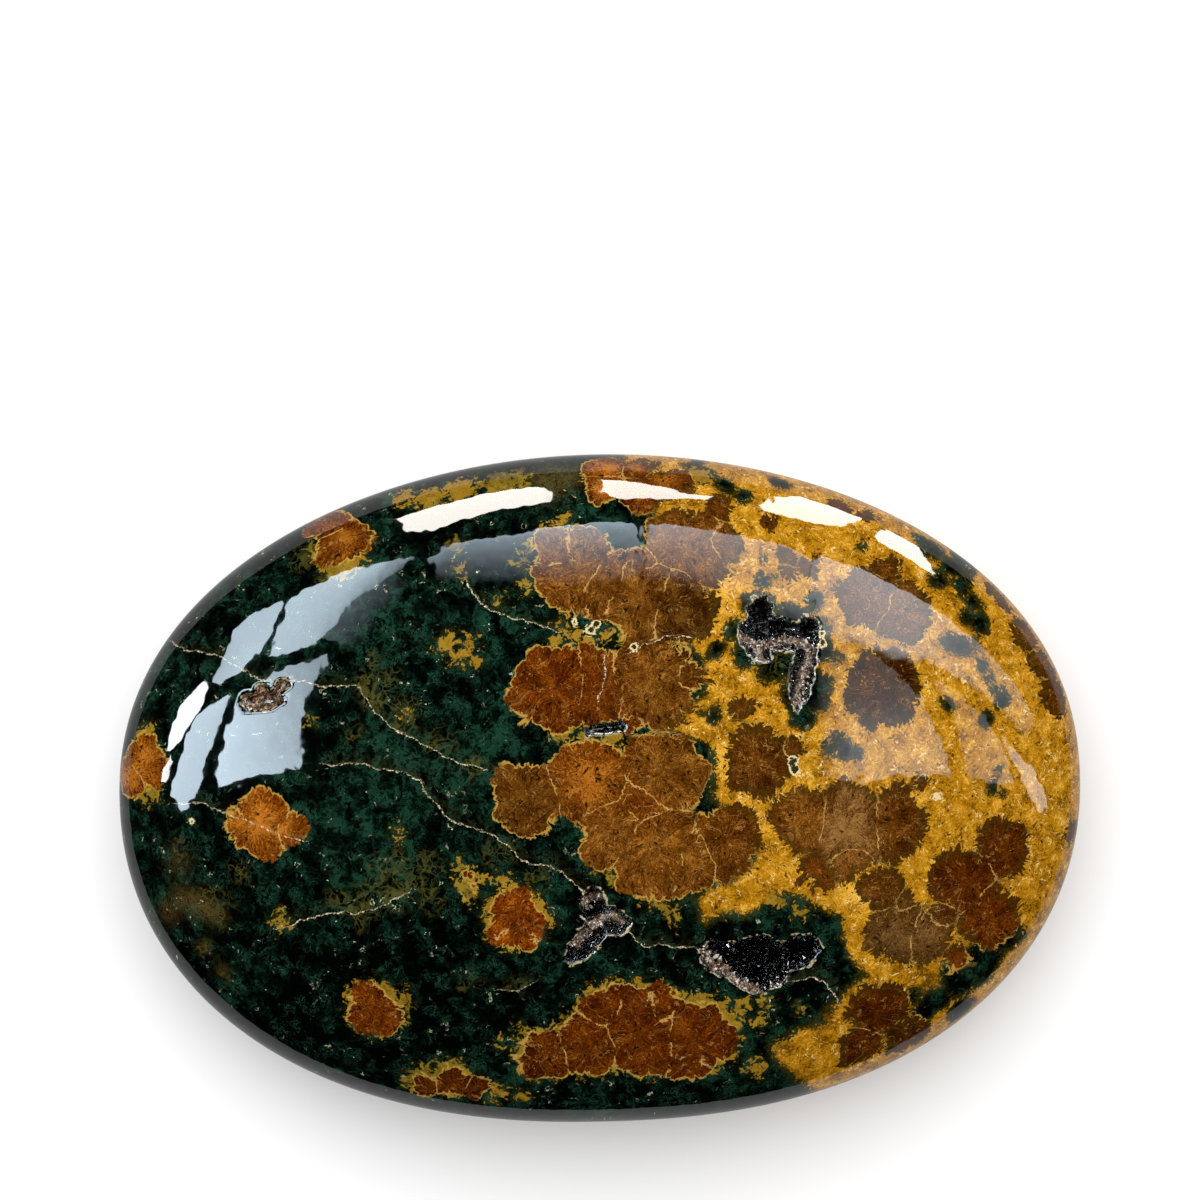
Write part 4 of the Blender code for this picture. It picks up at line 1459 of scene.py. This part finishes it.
def crystal_mesh(roots, directions, radii, lengths, spins):
    """All crystals as one mesh, and which crystal each face belongs to. Corner k of a ring is the
    cosine and sine of sixty degrees times k along two directions square to the crystal's own. The
    shoulder is the same ring, a little narrower, most of the way to the tip."""
    helper = np.where(np.abs(directions[:, 2:3]) < 0.9, [[0.0, 0.0, 1.0]], [[1.0, 0.0, 0.0]])
    first = np.cross(directions, helper)
    first /= np.linalg.norm(first, axis=1, keepdims=True)
    second = np.cross(directions, first)
    angle = np.arange(CRYSTAL_SIDES) * 2 * np.pi / CRYSTAL_SIDES + spins[:, None]
    ring = np.cos(angle)[..., None] * first[:, None] + np.sin(angle)[..., None] * second[:, None]
    ring = ring * radii[:, None, None]
    rooted = roots[:, None] + ring
    shoulder = roots[:, None] + ring * SHOULDER_WIDTH
    shoulder += (directions * lengths[:, None] * SHOULDER_HEIGHT)[:, None]
    tip = (roots + directions * lengths[:, None])[:, None]
    points = np.concatenate([rooted, shoulder, tip], axis=1)
    k = np.arange(CRYSTAL_SIDES)
    after = (k + 1) % CRYSTAL_SIDES
    sides = np.stack([k, after, after + CRYSTAL_SIDES, k + CRYSTAL_SIDES], axis=-1)
    caps = np.stack([k + CRYSTAL_SIDES, after + CRYSTAL_SIDES, 0 * k + 2 * CRYSTAL_SIDES], axis=-1)
    base = (np.arange(len(roots)) * (2 * CRYSTAL_SIDES + 1))[:, None, None]
    faces = (sides + base).reshape(-1, 4).tolist() + (caps + base).reshape(-1, 3).tolist()
    faces += (k[::-1] + base[:, 0]).tolist()
    owner = np.arange(len(roots))
    owners = np.concatenate([np.repeat(owner, CRYSTAL_SIDES), np.repeat(owner, CRYSTAL_SIDES), owner])
    return points.reshape(-1, 3), faces, owners


print("faces of a crystal:", 2 * CRYSTAL_SIDES + 1)

# %% Where the crystals stand
CRYSTALS_PER_SQUARE_MM = 44
STEEPEST = 6
DISORDER = 0.33
UPWARD_LEAN = 0.25
SIZE_STEPS = (0.6, 1.0, 1.35)
SIZE_SHARES = (0.5, 0.4, 0.1)
ROOT_DEPTH = 0.06
GAP_UNDER_POLISH = 0.08
SHORTEST = 0.10
MOUTH_MARGIN = 0.02
LEAST_UPRIGHT = 0.17
LEAST_RISE = 0.25
MILKY_REACH = 0.28
MILKY_SCATTER = 0.10


def crystals_in(lobes, seed, sizes, slenderness):
    """Roots spread over the hollow, more of them where the wall is steep, since a steep wall hides
    more surface under each square millimetre of the plan."""
    chance = np.random.default_rng(seed)
    reach_mm = max(lobe[2] for lobe in lobes)
    low = np.array([min(lobe[k] for lobe in lobes) for k in (0, 1)]) - reach_mm
    high = np.array([max(lobe[k] for lobe in lobes) for k in (0, 1)]) + reach_mm
    tries = int(CRYSTALS_PER_SQUARE_MM * STEEPEST * np.prod(high - low))
    spots = chance.uniform(low, high, (tries, 2))
    spots = spots[mouth_distance(*spots.T, lobes) < -MOUTH_MARGIN]
    normal = surface_normal(lambda x, y: hollow_floor(x, y, lobes), *spots.T, 0.05)
    keep = chance.uniform(size=len(spots)) < 1 / STEEPEST / np.clip(normal[:, 2], LEAST_UPRIGHT, 1)
    spots, normal = spots[keep], normal[keep]
    count = len(spots)
    direction = normal + chance.normal(0, DISORDER, (count, 3)) + [0, 0, UPWARD_LEAN]
    direction /= np.linalg.norm(direction, axis=1, keepdims=True)
    radius = chance.uniform(*sizes, count) * chance.choice(SIZE_STEPS, count, p=SIZE_SHARES)
    length = radius * chance.uniform(*slenderness, count)
    root = np.column_stack([spots, hollow_floor(*spots.T, lobes)]) - direction * ROOT_DEPTH
    room = dome_height(*spots.T) - GAP_UNDER_POLISH - root[:, 2]
    length = np.minimum(length, room / np.clip(direction[:, 2], LEAST_RISE, 1))
    good = length > SHORTEST
    milky = ridge_distance(*spots.T) + chance.normal(0, MILKY_SCATTER, count) < MILKY_REACH
    spins = chance.uniform(0, np.pi, count)
    return (root[good], direction[good], radius[good], length[good], spins[good]), milky[good]


print("crystals tried for on each square mm of wall:", CRYSTALS_PER_SQUARE_MM)

# %% Clear and milky quartz


def quartz_material(name, clearness, body, roughness):
    """Quartz as a see-through solid, as clear as asked."""
    shader = Shader(name)
    shader.set(Base_Color=body, Transmission_Weight=clearness, IOR=QUARTZ_IOR, Roughness=roughness)
    return shader


def milky_quartz():
    """Whitish quartz with brown stain in patches a few crystals wide."""
    shader = quartz_material("milky_quartz", 0.25, (0.6, 0.5, 0.4), 0.15)
    stain = shader.noise(shader.vector("SCALE", shader.place(), PER_MM), 2.2, 3.0, 0.75)
    body = shader.mix(shader.step(stain, 0.40, 0.53), (0.035, 0.020, 0.012), (0.30, 0.18, 0.11))
    body = shader.mix(shader.step(stain, 0.53, 0.60), body, (0.80, 0.76, 0.70))
    shader.set(Base_Color=body)
    return shader.material


clear_quartz = quartz_material("clear_quartz", 1.0, (0.42, 0.44, 0.47), 0.03).material
milky = milky_quartz()
print("quartz ready")

# %% Grow the crusts
# Least and greatest radius in millimetres, length in radii, and a seed
CRUSTS = {
    "upper": ((0.06, 0.12), (2.0, 4.2), 31),
    "lower": ((0.08, 0.18), (2.0, 4.0), 32),
    "middle": ((0.06, 0.13), (2.0, 4.0), 33),
}
for name, (sizes, slenderness, seed) in CRUSTS.items():
    crystals, is_milky = crystals_in(HOLLOWS[name], seed, sizes, slenderness)
    points, faces, owners = crystal_mesh(*crystals)
    crust = mesh_object("quartz_points_" + name, points, faces, clear_quartz)
    crust.data.materials.append(milky)
    crust.data.polygons.foreach_set("material_index", is_milky[owners].astype(np.int32))
    crust.data.shade_flat()
    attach(crust, "root")
    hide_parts("quartz_crust_" + name)
    print(name, "crust:", len(is_milky), "crystals,", int(is_milky.sum()), "of them milky")
